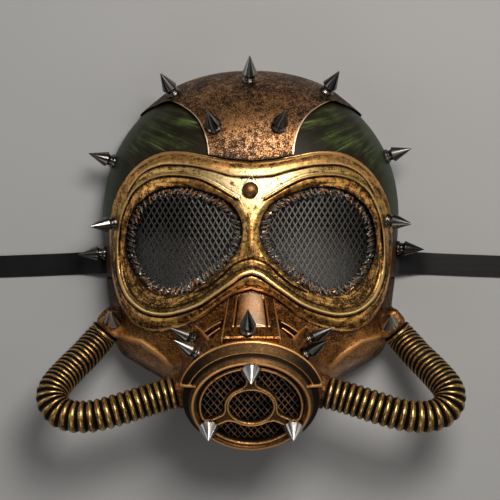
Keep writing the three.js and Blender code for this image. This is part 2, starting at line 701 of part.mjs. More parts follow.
function filterMesh() {
  const { thickness, edge } = FILTER_MESH;
  const top = GRILLE.back - FIT;
  const disc = new THREE.CylinderGeometry(GRILLE.radius, GRILLE.radius, thickness, FILTER.sides);
  const sheet = solid(disc.rotateX(Math.PI / 2).translate(0, 0, top - thickness / 2));
  const inside = ({ x, y }) => Math.hypot(x, y) < GRILLE.radius - edge;
  const pierced = sheet.subtract(solid(diamonds(FILTER_MESH, inside, GRILLE.radius)));
  return solid(onFilter(geometryOf(pierced)));
}

// Ribbons
function ribbonSolid(side) {
  const curve = new THREE.CatmullRomCurve3(vectors(side > 0 ? RIBBON_ROUTE : mirrored(RIBBON_ROUTE)));
  const width = new THREE.Vector3(0, RIBBON.width / 2, 0);
  const steps = RIBBON_ROUTE.length - 1;
  const rings = [];
  for (let i = 0; i <= steps; i++) {
    const centre = curve.getPoint(i / steps);
    const tangent = curve.getTangent(i / steps);
    const thick = new THREE.Vector3(-tangent.z, 0, tangent.x).setLength(RIBBON.thickness / 2);
    const corner = (across, out) => {
      const point = centre.clone().addScaledVector(width, across);
      return point.addScaledVector(thick, out);
    };
    rings.push([corner(1, 1), corner(-1, 1), corner(-1, -1), corner(1, -1)]);
  }
  return solid(loft(rings));
}

// Assembly
const mask = new THREE.Group();
mask.position.y = CENTRING;

function add(name, geometry, finish) {
  const material = new THREE.MeshStandardMaterial({ ...FINISH[finish], flatShading: true });
  const mesh = new THREE.Mesh(geometry, material);
  mesh.name = name;
  mask.add(mesh);
  return mesh;
}

const eyeMeshLeft = geometryOf(eyeMesh());
add('crown_shell', geometryOf(crownShell()), 'green');
add('face_shell', geometryOf(faceShell()), 'copper');
add('forehead_plate', geometryOf(foreheadPlate()), 'copper');
add('goggle_frame', geometryOf(goggleFrame()), 'gold');
add('eye_mesh_left', eyeMeshLeft, 'wire');
add('eye_mesh_right', flipped(eyeMeshLeft), 'wire');
add('filter_housing', geometryOf(filterHousing()), 'bronze');
add('filter_grille', geometryOf(filterGrille()), 'bronze');
add('filter_mesh', geometryOf(filterMesh()), 'wire');
add('hose_left', geometryOf(hoseSolid(-1)), 'gold');
add('hose_right', geometryOf(hoseSolid(1)), 'gold');
add('ribbon_left', geometryOf(ribbonSolid(-1)), 'satin');
add('ribbon_right', geometryOf(ribbonSolid(1)), 'satin');

// Spikes and the rivet stand on the piece that carries them, found along their own line
function turnedAlongY(section) {
  return new THREE.LatheGeometry(section.map(({ r, h }) => new THREE.Vector2(r, h)), SPIKE_SIDES);
}

// Rays from the foot's centre and corners find the highest point that it would touch
function seat(mesh, carrier, foot, direction, footRadius) {
  const along = direction.clone().normalize();
  const turn = new THREE.Quaternion().setFromUnitVectors(new THREE.Vector3(0, 1, 0), along);
  const start = foot.clone().addScaledVector(along, SEAT_REACH);
  const corners = [new THREE.Vector3()];
  for (let i = 0; i < SPIKE_SIDES; i++) {
    const around = 2 * Math.PI * i / SPIKE_SIDES;
    corners.push(new THREE.Vector3().setFromCylindricalCoords(footRadius, around, 0));
  }
  let reach = Infinity;
  for (const corner of corners) {
    const ray = new THREE.Raycaster(corner.applyQuaternion(turn).add(start), along.clone().negate());
    const [hit] = ray.intersectObject(mask.getObjectByName(carrier));
    reach = Math.min(reach, hit?.distance ?? Infinity);
  }
  mesh.position.copy(start).addScaledVector(along, FIT - reach).y -= CENTRING;
  mesh.quaternion.copy(turn);
}

mask.updateMatrixWorld(true);
for (const { name, kind, on, pair, x, y, z, dx, dy, dz, aside = 0, uneven = 0 } of SPIKES) {
  const section = SPIKE_SECTIONS[kind];
  for (const side of pair ? [-1, 1] : [1]) {
    const label = pair ? `${name}_${side > 0 ? 'right' : 'left'}` : name;
    const mesh = add(label, turnedAlongY(section), 'nickel');
    const foot = new THREE.Vector3(side * x + aside, y + side * uneven + CENTRING, z);
    seat(mesh, on, foot, new THREE.Vector3(side * dx, dy, dz), section[1].r);
  }
}
for (const { name, angle } of FILTER_SPIKES) {
  const turn = THREE.MathUtils.degToRad(angle);
  const mesh = add(name, turnedAlongY(SPIKE_SECTIONS.cone).rotateX(Math.PI / 2), 'nickel');
  const foot = new THREE.Vector3(Math.cos(turn), Math.sin(turn), 0).multiplyScalar(FILTER_SPIKE_RADIUS);
  mesh.position.copy(foot.setZ(FIT).applyMatrix4(alongFilter));
  mesh.quaternion.setFromRotationMatrix(alongFilter);
}
const rivetSection = [{ r: 0, h: 0 }];
for (let i = 0; i <= RIVET.steps; i++) {
  const turn = Math.PI / 2 * i / RIVET.steps;
  rivetSection.push({ r: RIVET.radius * Math.cos(turn), h: RIVET.height * Math.sin(turn) });
}
const rivet = add('bridge_rivet', turnedAlongY(rivetSection), 'bronze');
const rivetFoot = new THREE.Vector3(RIVET.x, RIVET.y + CENTRING, GOGGLES.front);
seat(rivet, 'goggle_frame', rivetFoot, new THREE.Vector3(0, RIVET.lean, 1), RIVET.radius);

export default mask;
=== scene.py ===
# %% [markdown]
# # A steampunk gas mask
# The mask lies face up on a pale floor and the camera looks straight down on it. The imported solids
# give every piece its place. Each step below makes one piece or one finish in finer detail, in the
# same frame, and hides the solid that it stands for.

# %% Load the solids
import math

import bmesh
import bpy
import numpy as np
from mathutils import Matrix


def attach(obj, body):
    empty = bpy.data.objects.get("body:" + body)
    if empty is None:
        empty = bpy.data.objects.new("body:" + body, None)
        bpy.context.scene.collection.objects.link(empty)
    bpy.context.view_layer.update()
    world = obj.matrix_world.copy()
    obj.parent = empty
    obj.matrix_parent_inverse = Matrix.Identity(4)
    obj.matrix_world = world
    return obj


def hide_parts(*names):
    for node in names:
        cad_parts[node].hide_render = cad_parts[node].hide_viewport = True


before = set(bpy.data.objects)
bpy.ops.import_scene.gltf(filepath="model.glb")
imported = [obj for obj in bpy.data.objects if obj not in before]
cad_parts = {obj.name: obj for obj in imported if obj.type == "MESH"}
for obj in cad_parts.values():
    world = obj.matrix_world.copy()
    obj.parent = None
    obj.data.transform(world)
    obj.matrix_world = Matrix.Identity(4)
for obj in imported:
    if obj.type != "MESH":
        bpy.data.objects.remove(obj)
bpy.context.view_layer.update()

import openvdb
from mathutils import Vector

# %% [markdown]
# ## Camera and light
# The photograph was taken from straight above with a long lens, so the hoses and the crown keep
# nearly the same scale. A distance of 1.1 m and a view 16.6 degrees wide give that. The main light is
# a soft box high over the crown, a little to the right, where the highlights in the photograph point.
# Weaker boxes beyond the chin, left and right give the metals something to reflect, in a dim surround.

# %% Camera
VIEW_HEIGHT = 1.1
VIEW_DEGREES = 16.64
VIEW_CENTRE = (-0.00062, 0.00117)
SENSOR = 36.0

camera_data = bpy.data.cameras.new("photo_camera")
camera_data.sensor_width = SENSOR
camera_data.lens = SENSOR / 2 / math.tan(math.radians(VIEW_DEGREES / 2))
camera_data.clip_start = 0.05
camera = bpy.data.objects.new("photo_camera", camera_data)
camera.location = (*VIEW_CENTRE, VIEW_HEIGHT)
bpy.context.scene.collection.objects.link(camera)
bpy.context.scene.camera = camera
print("lens", round(camera_data.lens, 1), "mm")


# %% Lights
LIT_PLACE = Vector((0, 0.02, 0.04))


def soft_box(name, place, size, watts, colour):
    lamp = bpy.data.lights.new(name, "AREA")
    lamp.shape = "RECTANGLE"
    lamp.size, lamp.size_y = size
    lamp.energy = watts
    lamp.color = colour
    holder = bpy.data.objects.new(name, lamp)
    holder.location = place
    holder.rotation_euler = (LIT_PLACE - holder.location).to_track_quat("-Z", "Y").to_euler()
    bpy.context.scene.collection.objects.link(holder)


soft_box("key_box", (0.20, 0.42, 0.92), (0.38, 0.38), 11.0, (1.0, 0.96, 0.91))
soft_box("low_box", (-0.15, -0.75, 0.7), (0.5, 0.4), 1.2, (1.0, 0.97, 0.93))
soft_box("left_box", (-0.9, 0.1, 0.45), (0.3, 0.8), 1.2, (0.95, 0.97, 1.0))
soft_box("right_box", (0.9, 0.0, 0.45), (0.3, 0.8), 1.2, (1.0, 0.97, 0.93))
surround = bpy.data.worlds.new("dim_surround")
surround.use_nodes = True
background = surround.node_tree.nodes["Background"]
background.inputs["Color"].default_value = (0.75, 0.77, 0.8, 1)
background.inputs["Strength"].default_value = 0.06
bpy.context.scene.world = surround
bpy.context.scene.view_settings.view_transform = "Standard"
print(len(bpy.data.lights), "soft boxes and a dim surround")

# %% [markdown]
# ## The form of the face
# Crown, face, plate and goggles all follow one arched form: a half width and a crest height for each
# place along the face, joined by a rounded arch. Writing it once as a function keeps every skin
# parallel to the others. Sizes are in millimetres, as a maker would read them, and are only turned
# into metres when a mesh is made.

# %% Sizes of the form and the line of the jaw
CENTRING = 1.17
WALL = 2.5
GAP = 0.3
SEAM = -17.0
HALF_WIDTH, DEPTH = 94.5, 77.0
CROWN, TEMPLE, BROW, CHEEK, CHIN = 111.5, 21.0, 40.0, -45.0, -104.0
JAW = np.array([
    (21, 94.5), (-17, 92.5), (-40, 89.8), (-60, 87), (-67, 83),
    (-71.5, 75.5), (-78, 64.6), (-84, 54), (-94, 39), (-103.7, 21), (-112, 4),
])
JAW_ROUNDING, JAW_STEP = 7.0, 0.25


def fall(share, near, far):
    """From 1 at the start to 0 at the end of a rounded slope."""
    return np.maximum(0.0, 1.0 - np.clip(share, 0.0, None) ** near) ** (1.0 / far)


def soft_step(value, low, high):
    share = np.clip((value - low) / (high - low), 0.0, 1.0)
    return share * share * (3 - 2 * share)


jaw_places = np.arange(-114.0, 30.0, JAW_STEP)
jaw_widths = np.interp(jaw_places, JAW[::-1, 0], JAW[::-1, 1])
rounding = np.hanning(int(JAW_ROUNDING / JAW_STEP))
jaw_widths = np.convolve(np.pad(jaw_widths, len(rounding), "edge"), rounding / rounding.sum(), "same")
jaw_widths = jaw_widths[len(rounding):-len(rounding)]
print("jaw drawn at", len(jaw_places), "places")


# %% The form
def half_width(y, grow=0.0):
    up = (y - TEMPLE) / (CROWN + grow - TEMPLE)
    over = (HALF_WIDTH + grow) * fall(up, 2.15, 2.15)
    stretch = 1 + grow / (TEMPLE - CHIN)
    under = np.interp(TEMPLE - (TEMPLE - y) / stretch, jaw_places, jaw_widths) + grow
    return np.where(y > TEMPLE, over, under)


def crest(y, grow=0.0):
    up = (y - BROW) / (CROWN + grow - BROW)
    down = (CHEEK - y) / (CHEEK - CHIN + grow)
    return (DEPTH + grow) * fall(up, 2.3, 2.3) * fall(down, 2.2, 2.0)


def arch_powers(y):
    """How square the arch is across and up; it changes from temple to chin."""
    share = soft_step(TEMPLE - y, 0.0, 66.0)
    return 2.3 + 0.7 * share, 2.3 - 0.6 * share


def form_height(x, y, grow=0.0):
    """Height of the form over a place in x and y."""
    across, up = arch_powers(y)
    share = np.minimum(1.0, np.abs(x) / np.maximum(half_width(y, grow), 1e-6))
    return crest(y, grow) * fall(share, across, up)


def form_rows(ys, turns, grow):
    """A grid of points on the form: one arch of `turns` for each place in ys."""
    y = np.asarray(ys)[:, None]
    turn = np.asarray(turns)[None, :]
    across, up = arch_powers(y)
    x = half_width(y, grow) * np.sign(np.cos(turn)) * np.abs(np.cos(turn)) ** (2 / across)
    z = crest(y, grow) * np.maximum(np.sin(turn), 0) ** (2 / up)
    return np.stack([x, np.broadcast_to(y, x.shape), z], -1)


print("the form is", round(float(crest(np.array(0.0))), 1), "mm high at the eyes")

# %% [markdown]
# ## Meshes from arrays
# Nearly all pieces are grids of points: rows along the piece and columns round it. One helper closes
# two such grids into a solid slab, one turns a profile round an axis, one sweeps a round section along
# a line, and one hands the result to Blender, rides it on the frame and hides the solid it replaces.
# Each mesh also carries marks, numbers at its points that tell the paint where to change.

# %% Grids and slabs
def grid_faces(rows, columns, wrap=False):
    row = np.arange(rows - 1)[:, None] * columns
    column = np.arange(columns if wrap else columns - 1)[None, :]
    beside = (column + 1) % columns
    corners = [row + column, row + beside, row + columns + beside, row + columns + column]
    return np.stack(corners, -1).reshape(-1, 4)


def capped_faces(rows, columns):
    """Faces of a tube of rows, closed at both ends."""
    first, last = list(range(columns)), list(range((rows - 1) * columns, rows * columns))
    return grid_faces(rows, columns, wrap=True).tolist() + [first[::-1], last]


def slab(top, bottom):
    """Close two grids of the same size into one solid."""
    rows, columns = top.shape[:2]
    count = rows * columns
    skin = grid_faces(rows, columns)
    index = np.arange(count).reshape(rows, columns)
    edges = [index[0], index[-1][::-1], index[::-1, 0], index[:, -1]]
    walls = [np.stack([e[1:], e[:-1], e[:-1] + count, e[1:] + count], -1) for e in edges]
    points = np.concatenate([top.reshape(-1, 3), bottom.reshape(-1, 3)])
    return points, np.concatenate([skin, skin[:, ::-1] + count, *walls])


def prism(outline, low, high):
    """A closed outline, drawn in x and y, raised from one height to another."""
    outline = np.asarray(outline, float)
    levels = [np.column_stack([outline, np.full(len(outline), z)]) for z in (low, high)]
    return np.concatenate(levels), capped_faces(2, len(outline))


print("grids can be closed into solids")


# %% Turned, swept and joined pieces
def unit(ways):
    return ways / np.linalg.norm(ways, axis=-1, keepdims=True)


def full_turn(sides):
    return np.linspace(0, 2 * np.pi, sides, endpoint=False)


def turned(profile, sides, whole=True):
    """Turn a profile of (radius, height) round the local z axis; whole joins its ends."""
    profile = np.asarray(profile, float)
    if whole:
        profile = np.concatenate([profile, profile[:1]])
    radius, height = profile[:, 0, None], profile[:, 1, None]
    turn = full_turn(sides)
    grid = np.stack([radius * np.cos(turn), radius * np.sin(turn), height + 0 * turn], -1)
    return grid.reshape(-1, 3), grid_faces(len(profile), sides, wrap=True)


def swept(line, first, second, radius, sides):
    """Points of a round section along a line; first and second are its two ways at each place."""
    turn = full_turn(sides)[:, None]
    section = np.cos(turn) * first[:, None] + np.sin(turn) * second[:, None]
    return (line[:, None] + np.reshape(radius, (-1, 1, 1)) * section).reshape(-1, 3)


def rounded(profile, radius, steps=4, ends=False):
    """Round the corners of a profile, each over at most `radius` of its two sides."""
    profile = np.asarray(profile, float)
    count = len(profile)
    line = []
    for i, corner in enumerate(profile):
        if ends and i in (0, count - 1):
            line.append(corner)
            continue
        reach = []
        for other in (profile[i - 1], profile[(i + 1) % count]):
            length = np.linalg.norm(other - corner)
            reach.append(corner + (other - corner) * min(radius / length, 0.45))
        for share in np.linspace(0, 1, steps):
            pull = 2 * share * (1 - share)
            line.append(reach[0] * (1 - share) ** 2 + corner * pull + reach[1] * share ** 2)
    return np.array(line)


def joined(*parts):
    """Put several meshes of points and faces together as one list."""
    points, faces, count = [], [], 0
    for part_points, part_faces in parts:
        points.append(part_points)
        faces.extend([int(i) + count for i in face] for face in part_faces)
        count += len(part_points)
    return np.concatenate(points), faces


print("profiles can be turned and lines swept")


# %% Meshes in Blender
def add_marks(mesh, marks):
    for label, values in marks.items():
        if label in ("wash", "bare", "lip", "glow"):
            values = np.clip(values, 0, 1)
        layer = mesh.attributes.new(label, "FLOAT", "POINT")
        layer.data.foreach_set("value", np.ascontiguousarray(values, np.float32))


def mesh_object(name, points, faces, marks=None):
    mesh = bpy.data.meshes.new(name)
    metres = (np.asarray(points) + (0, CENTRING, 0)) / 1000
    mesh.from_pydata(metres.tolist(), [], [list(f) for f in faces])
    add_marks(mesh, marks or {})
    work = bmesh.new()
    work.from_mesh(mesh)
    bmesh.ops.remove_doubles(work, verts=work.verts, dist=2e-7)
    bmesh.ops.recalc_face_normals(work, faces=work.faces)
    work.to_mesh(mesh)
    work.free()
    shape = bpy.data.objects.new(name, mesh)
    bpy.context.scene.collection.objects.link(shape)
    return shape


def points_of(shape):
    """Points of a piece, back in millimetres."""
    flat = np.empty(len(shape.data.vertices) * 3)
    shape.data.vertices.foreach_get("co", flat)
    return flat.reshape(-1, 3) * 1000 - (0, CENTRING, 0)


def carve(shape, tool, how="DIFFERENCE"):
    """Cut one closed mesh by another, or keep only what they share."""
    modifier = shape.modifiers.new("carve", "BOOLEAN")
    modifier.operation = how
    modifier.solver = "MANIFOLD"
    modifier.object = tool
    graph = bpy.context.evaluated_depsgraph_get()
    mesh = bpy.data.meshes.new_from_object(shape.evaluated_get(graph))
    shape.modifiers.clear()
    shape.data = mesh
    bpy.data.objects.remove(tool)


def settle(shape, finish, node=None, marks=None, crease=38):
    """Finish a piece: its marks for the paint, its smooth shading, its place on the frame."""
    if marks:
        add_marks(shape.data, marks(points_of(shape)))
    shape.data.shade_smooth()
    shape.data.set_sharp_from_angle(angle=math.radians(crease))
    shape.data.materials.clear()
    shape.data.materials.append(finish)
    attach(shape, "root")
    if node:
        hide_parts(node)
    sides = sum(len(p.vertices) - 2 for p in shape.data.polygons)
    print(f"{shape.name}: {sides} triangles")


print("meshes can be made, carved and settled")


# %% Lines and distances
def distance_to_line(points, line):
    """Distance from many points to an open line, both in x and y."""
    points = np.asarray(points, float)
    line = np.asarray(line, float)
    best = np.full(len(points), 1e9)
    for start, stop in zip(line[:-1], line[1:]):
        way = stop - start
        off_x, off_y = points[:, 0] - start[0], points[:, 1] - start[1]
        share = np.clip((off_x * way[0] + off_y * way[1]) / max(way @ way, 1e-9), 0, 1)
        best = np.minimum(best, (off_x - way[0] * share) ** 2 + (off_y - way[1] * share) ** 2)
    return np.sqrt(best)


def smooth_line(points, count):
    """Points evenly spaced by length on a curve through the given ones."""
    points = np.asarray(points, float)
    steps = np.sqrt(np.linalg.norm(np.diff(points, axis=0), axis=1))
    at = np.concatenate([[0], np.cumsum(steps)])
    slope = np.gradient(points, at, axis=0)
    place = np.linspace(0, at[-1], 40 * len(points))
    row = np.clip(np.searchsorted(at, place) - 1, 0, len(at) - 2)
    size = (at[row + 1] - at[row])[:, None]
    share = ((place - at[row]) / size[:, 0])[:, None]
    square, cube = share ** 2, share ** 3
    fine = ((2 * cube - 3 * square + 1) * points[row] + (cube - 2 * square + share) * size * slope[row]
            + (3 * square - 2 * cube) * points[row + 1] + (cube - square) * size * slope[row + 1])
    length = np.concatenate([[0], np.cumsum(np.linalg.norm(np.diff(fine, axis=0), axis=1))])
    wanted = np.linspace(0, length[-1], count)
    return np.stack([np.interp(wanted, length, fine[:, k]) for k in range(3)], -1), length[-1]


def off_line(x, y, line):
    """Distance in x and y to a line or to its mirror image, whichever is nearer."""
    spots = np.column_stack([np.ravel(x), np.ravel(y)])
    both = [distance_to_line(spots * (side, 1), line) for side in (1, -1)]
    return np.minimum(*both).reshape(np.shape(x))


def dip(off, width):
    """1 at no distance, fading to 0 over about twice the width."""
    return np.exp(-(off / width) ** 2)


print("lines can be smoothed and measured from")

# %% [markdown]
# ## Shader sums as plain sums
# A paint finish is a sum of masks: streaks, specks, dark wash in the hollows, painted shade, painted
# highlights, bare edges. Wrapping a socket in a small class lets those sums read like ordinary
# arithmetic, and each one adds its Math node. Every other node comes from one method, which sets the
# node up and then fills its sockets.

# %% The wire class
class Wire:
    """A value in a finish; arithmetic on it adds Math nodes."""

    def __init__(self, finish, socket):
        self.finish, self.socket = finish, socket

    def sum_node(self, kind, *values):
        return self.finish.node("ShaderNodeMath", {"operation": kind}, dict(enumerate(values)))

    def __add__(self, other):
        return self.sum_node("ADD", self, other)

    __radd__ = __add__

    def __sub__(self, other):
        return self.sum_node("SUBTRACT", self, other)

    def __rsub__(self, other):
        return self.sum_node("SUBTRACT", other, self)

    def __mul__(self, other):
        return self.sum_node("MULTIPLY", self, other)

    __rmul__ = __mul__

    def step(self, low, high):
        """0 below low, 1 above high and a soft rise between."""
        return self.finish.node(
            "ShaderNodeMapRange", {"interpolation_type": "SMOOTHSTEP"},
            {"Value": self, "From Min": low, "From Max": high},
        )


print("sums on wires add Math nodes")


# %% The finish class
class Finish:
    """A material with one Principled shader, built from wires."""

    def __init__(self, name):
        self.material = bpy.data.materials.new(name)
        self.material.use_nodes = True
        self.tree = self.material.node_tree
        self.shader = self.tree.nodes["Principled BSDF"]
        self.place = self.node("ShaderNodeTexCoord", {}, {}, "Object")

    def node(self, kind, settings, sockets, out=0):
        made = self.tree.nodes.new(kind)
        for key, value in settings.items():
            setattr(made, key, value)
        for key, value in sockets.items():
            self.plug(made.inputs[key], value)
        return Wire(self, made.outputs[out])

    def plug(self, socket, value):
        if isinstance(value, Wire):
            self.tree.links.new(value.socket, socket)
        elif isinstance(value, tuple) and socket.type == "RGBA":
            socket.default_value = (*value, 1)
        else:
            socket.default_value = value

    def mark(self, label):
        return self.node("ShaderNodeAttribute", {"attribute_name": label}, {}, "Fac")

    def blend(self, share, first, second):
        return self.node("ShaderNodeMix", {"data_type": "RGBA"}, {0: share, 6: first, 7: second}, 2)

    def spot(self, x, y, z):
        return self.node("ShaderNodeCombineXYZ", {}, {0: x, 1: y, 2: z})

    def cloud(self, scale, detail=3.0, rough=0.55, place=None, twist=0.0):
        return self.node("ShaderNodeTexNoise", {}, {
            "Vector": place or self.place, "Scale": scale, "Detail": detail,
            "Roughness": rough, "Distortion": twist,
        })

    def bump(self, height, strength, distance):
        return self.node("ShaderNodeBump", {}, {
            "Height": height, "Strength": strength, "Distance": distance,
        })

    def wear(self, **sockets):
        names = {"colour": "Base Color", "rough": "Roughness", "metal": "Metallic", "normal": "Normal",
                 "specular": "Specular IOR Level"}
        for key, value in sockets.items():
            self.plug(self.shader.inputs[names[key]], value)
        return self.material


print("finishes can be mixed")

# %% [markdown]
# ## The floor
# A plain pale floor, with only a faint cloudiness, so that all colour belongs to the mask.

# %% Floor
floor_finish = Finish("pale_floor")
floor_colour = floor_finish.blend(
    floor_finish.cloud(3.0), (0.275, 0.275, 0.275), (0.305, 0.305, 0.303),
)
floor_paint = floor_finish.wear(colour=floor_colour, rough=0.75)
floor_mesh = bpy.data.meshes.new("floor")
floor_mesh.from_pydata([(-3, -3, 0), (3, -3, 0), (3, 3, 0), (-3, 3, 0)], [], [(0, 1, 2, 3)])
floor_mesh.materials.append(floor_paint)
floor = bpy.data.objects.new("floor", floor_mesh)
floor.location.z = -0.0003
bpy.context.scene.collection.objects.link(floor)
print("floor laid")

# %% [markdown]
# ## Antique copper
# The face and the forehead plate are moulded plastic with copper rubbed over black-brown: dark
# specks show everywhere, hollows stay black and edges are rubbed bright. Three clouds of different
# size make the specks. The marks on each mesh say where it is dark, from a dark wash in the hollows
# and from painted shade beside and under parts, where an edge is rubbed bare, where a highlight is
# painted on, and where it is paler than the rest.


# %% Copper finish
def rubbed_paint(name, dark, middle, bright, sparkle):
    paint = Finish(name)
    wash, bare, glow = paint.mark("wash"), paint.mark("bare"), paint.mark("glow")
    pale = paint.mark("pale")
    bright = paint.blend(pale, bright, (0.94, 0.67, 0.45))
    middle = paint.blend(pale * 0.5, middle, (0.40, 0.205, 0.085))
    fine = paint.cloud(1050.0, 3.0, 0.65)
    patch = paint.cloud(260.0, 3.0, 0.6)
    broad = paint.cloud(55.0, 2.0, 0.55)
    # Painted highlights cover more of the dark, add bright specks and turn the paint bright; the dark wash in
    # the hollows and painted shade turn it black.
    cover = fine + (patch - 0.5) * 0.45 + (broad - 0.5) * 0.45 + glow * 0.1 - wash * 0.25
    rubbed = cover.step(0.40, 0.62)
    colour = paint.blend(rubbed, dark, middle)
    spark = paint.cloud(1400.0, 2.0, 0.6) + glow * 0.12 + (patch - 0.5) * 0.3
    colour = paint.blend(spark.step(0.54, 0.68) * (sparkle + glow * 0.5), colour, bright)
    colour = paint.blend(glow * 0.68, colour, bright)
    edge = (bare * (0.45 + fine * 1.1) - wash * 0.3).step(0.3, 0.85)
    colour = paint.blend(edge, colour, bright)
    colour = paint.blend(wash.step(0.35, 1.0) * 0.9, colour, (0.006, 0.004, 0.003))
    rough = 0.50 - rubbed * 0.16 + wash * 0.2 + glow * 0.08 + (fine - 0.5) * 0.1
    grain = paint.bump(fine * 0.8 + patch * 0.3, 0.4, 0.0005)
    return paint.wear(colour=colour, rough=rough, metal=0.93 - glow * 0.45, normal=grain)


copper = rubbed_paint("copper_rubbed", (0.030, 0.012, 0.005), (0.40, 0.158, 0.036),
                      (0.88, 0.43, 0.14), 0.4)
print("copper rubbed over black-brown")

# %% [markdown]
# ## Forehead plate
# A plate about 2.7 mm thick that lies over the crown. Its edge sweeps up from the goggles in an arch
# on each side, leaving the green crown bare at the temples. It could be modelled by hand from an
# arched strip, but cutting a thick layer of the form with the drawn outline keeps the edge clean.

# %% Goggle outline, needed for the plate's lower edge
EYE = (41.0, 5.4)
# Angle round the eye, radius of the opening and radius of the frame's outer edge
EYE_ROWS = np.array([
    (0, 35.4, 70), (15, 37, 72), (30, 37.2, 70), (45, 35.2, 64.5), (60, 33, 56),
    (75, 32.5, 53), (90, 32.9, 53.9), (105, 33.8, 55.2), (120, 34.7, 54.5), (135, 35.5, 52.5),
    (150, 36.3, 50.4), (165, 36, 48.3), (180, 35.9, 47.3), (195, 36.1, 48.3), (210, 36.2, 51.4),
    (225, 36, 56.1), (240, 35.7, 59.5), (255, 34.6, 56.5), (270, 32, 51.1), (285, 29.6, 46.7),
    (300, 28.1, 43.6), (315, 28, 44.6), (330, 29.5, 53), (345, 32.6, 63),
])
EYE_STEP = 15
OPENING, OUTER = 1, 2


def eye_radius(column, degrees):
    """Radius of one line of the goggles at any angle, on a smooth curve through the rows."""
    rows = EYE_ROWS[:, column]
    at = np.asarray(degrees, float) % 360 / EYE_STEP
    row = np.floor(at).astype(int)
    share = at - row
    before, here, after, beyond = (rows[(row + shift) % len(rows)] for shift in (-1, 0, 1, 2))
    square = 2 * before - 5 * here + 4 * after - beyond
    cube = 3 * (here - after) + beyond - before
    return here + 0.5 * share * (after - before + share * (square + share * cube))


def middle_radius(degrees):
    """Distance from an eye's centre to the middle line, at an angle."""
    toward_nose = np.cos(np.radians(degrees))
    return np.where(toward_nose > 0.01, EYE[0] / np.maximum(toward_nose, 0.01), 1e4)


def eye_place(degrees, radius):
    turn = np.radians(degrees)
    return -EYE[0] + radius * np.cos(turn), EYE[1] + radius * np.sin(turn)


def goggle_outline(grow):
    """Outer edge of both goggles together, grown by some millimetres."""
    degrees = np.arange(0, 360, 2.0)
    radius = eye_radius(OUTER, degrees)
    degrees = degrees[radius <= middle_radius(degrees) + GAP]
    x, y = eye_place(degrees, eye_radius(OUTER, degrees) + grow)
    half = np.column_stack([np.minimum(x, -1e-4), y])
    return np.concatenate([half, half[::-1] * (-1, 1)])


def eye_outline(grow, side=-1):
    degrees = np.arange(0, 360, 3.0)
    x, y = eye_place(degrees, eye_radius(OPENING, degrees) + grow)
    return np.column_stack([-side * x, y])


print("goggles reach", round(float(goggle_outline(0)[:, 0].max()), 1), "mm to each side")

# %% The plate
PLATE, PLATE_TIP = 2.7, 1.2
CLEAR = 0.6
PLATE_EDGE = np.array([
    (24.5, 46), (27.2, 67.7), (33, 80), (42, 88), (51, 92.3), (58, 90.6), (64, 89), (71, 86.2),
])
FAR = 200.0
PLATE_ROWS, ARCH_COLUMNS = 110, 150
# Heights for the cutters: under the floor, above the rim and over the whole mask
UNDER, ABOVE_RIM, OVER = -20, 15, 140


def crowded(low, high, count):
    """Places from low to high that crowd together where the crown turns down."""
    return low + (high - low) * (1 - (1 - np.linspace(0, 0.996, count)) ** 1.7)


edge_line = smooth_line(np.column_stack([PLATE_EDGE, np.zeros(len(PLATE_EDGE))]), 60)[0][:, :2]
side_line = np.concatenate([edge_line, [(FAR, edge_line[-1, 1]), (FAR, FAR)]])
plate_outline = np.concatenate([side_line, side_line[::-1] * (-1, 1)])

arch = np.linspace(0, np.pi, ARCH_COLUMNS)
plate_under = form_rows(crowded(BROW, CROWN + GAP, PLATE_ROWS), arch, GAP)
plate_over = form_rows(crowded(BROW, CROWN + GAP + PLATE, PLATE_ROWS), arch, GAP + PLATE)
thin_out = 1 - (1 - PLATE_TIP / PLATE) * soft_step(np.abs(plate_over[..., :1]), 46, 64)
plate_over = plate_under + (plate_over - plate_under) * thin_out
plate_shape = mesh_object("forehead_plate_skin", *slab(plate_over, plate_under))
carve(plate_shape, mesh_object("plate_cutter", *prism(plate_outline, UNDER, OVER)), "INTERSECT")
carve(plate_shape, mesh_object("goggle_cutter", *prism(goggle_outline(CLEAR), UNDER, OVER)))


def plate_marks(points):
    x, y, z = points.T
    off_edge = off_line(x, y, edge_line)
    off_goggles = distance_to_line(points, goggle_outline(CLEAR))
    outside = z > form_height(x, y, GAP) + 0.6
    arch_side = 1 - soft_step(np.abs(x), 44, 53)
    bare = np.exp(-off_edge / 0.8) * (0.15 + 0.85 * arch_side)
    # Painted shade darkens the top of the plate and the strip beside the goggles; the wings are darker too,
    # and the lower middle gets more dark specks.
    shade = soft_step(y, 74, 106) * 0.35 + 0.4 * (1 - arch_side) + 0.9 * np.exp(-off_goggles / 0.7)
    shade += 0.28 * dip(x - 4, 34) * dip(y - 57, 15)
    return {"bare": bare * outside, "wash": shade, "pale": 1 + 0 * x}


settle(plate_shape, copper, "forehead_plate", plate_marks)

# %% [markdown]
# ## Green crown
# Behind the plate the crown is painted green with a dry brush: hair-fine streaks that fan in from beyond
# the rim towards the plate, over a black-olive ground, and a smooth grey-green towards the rim. The
# streaks are a cloud squeezed across the brush stroke and left long down it.


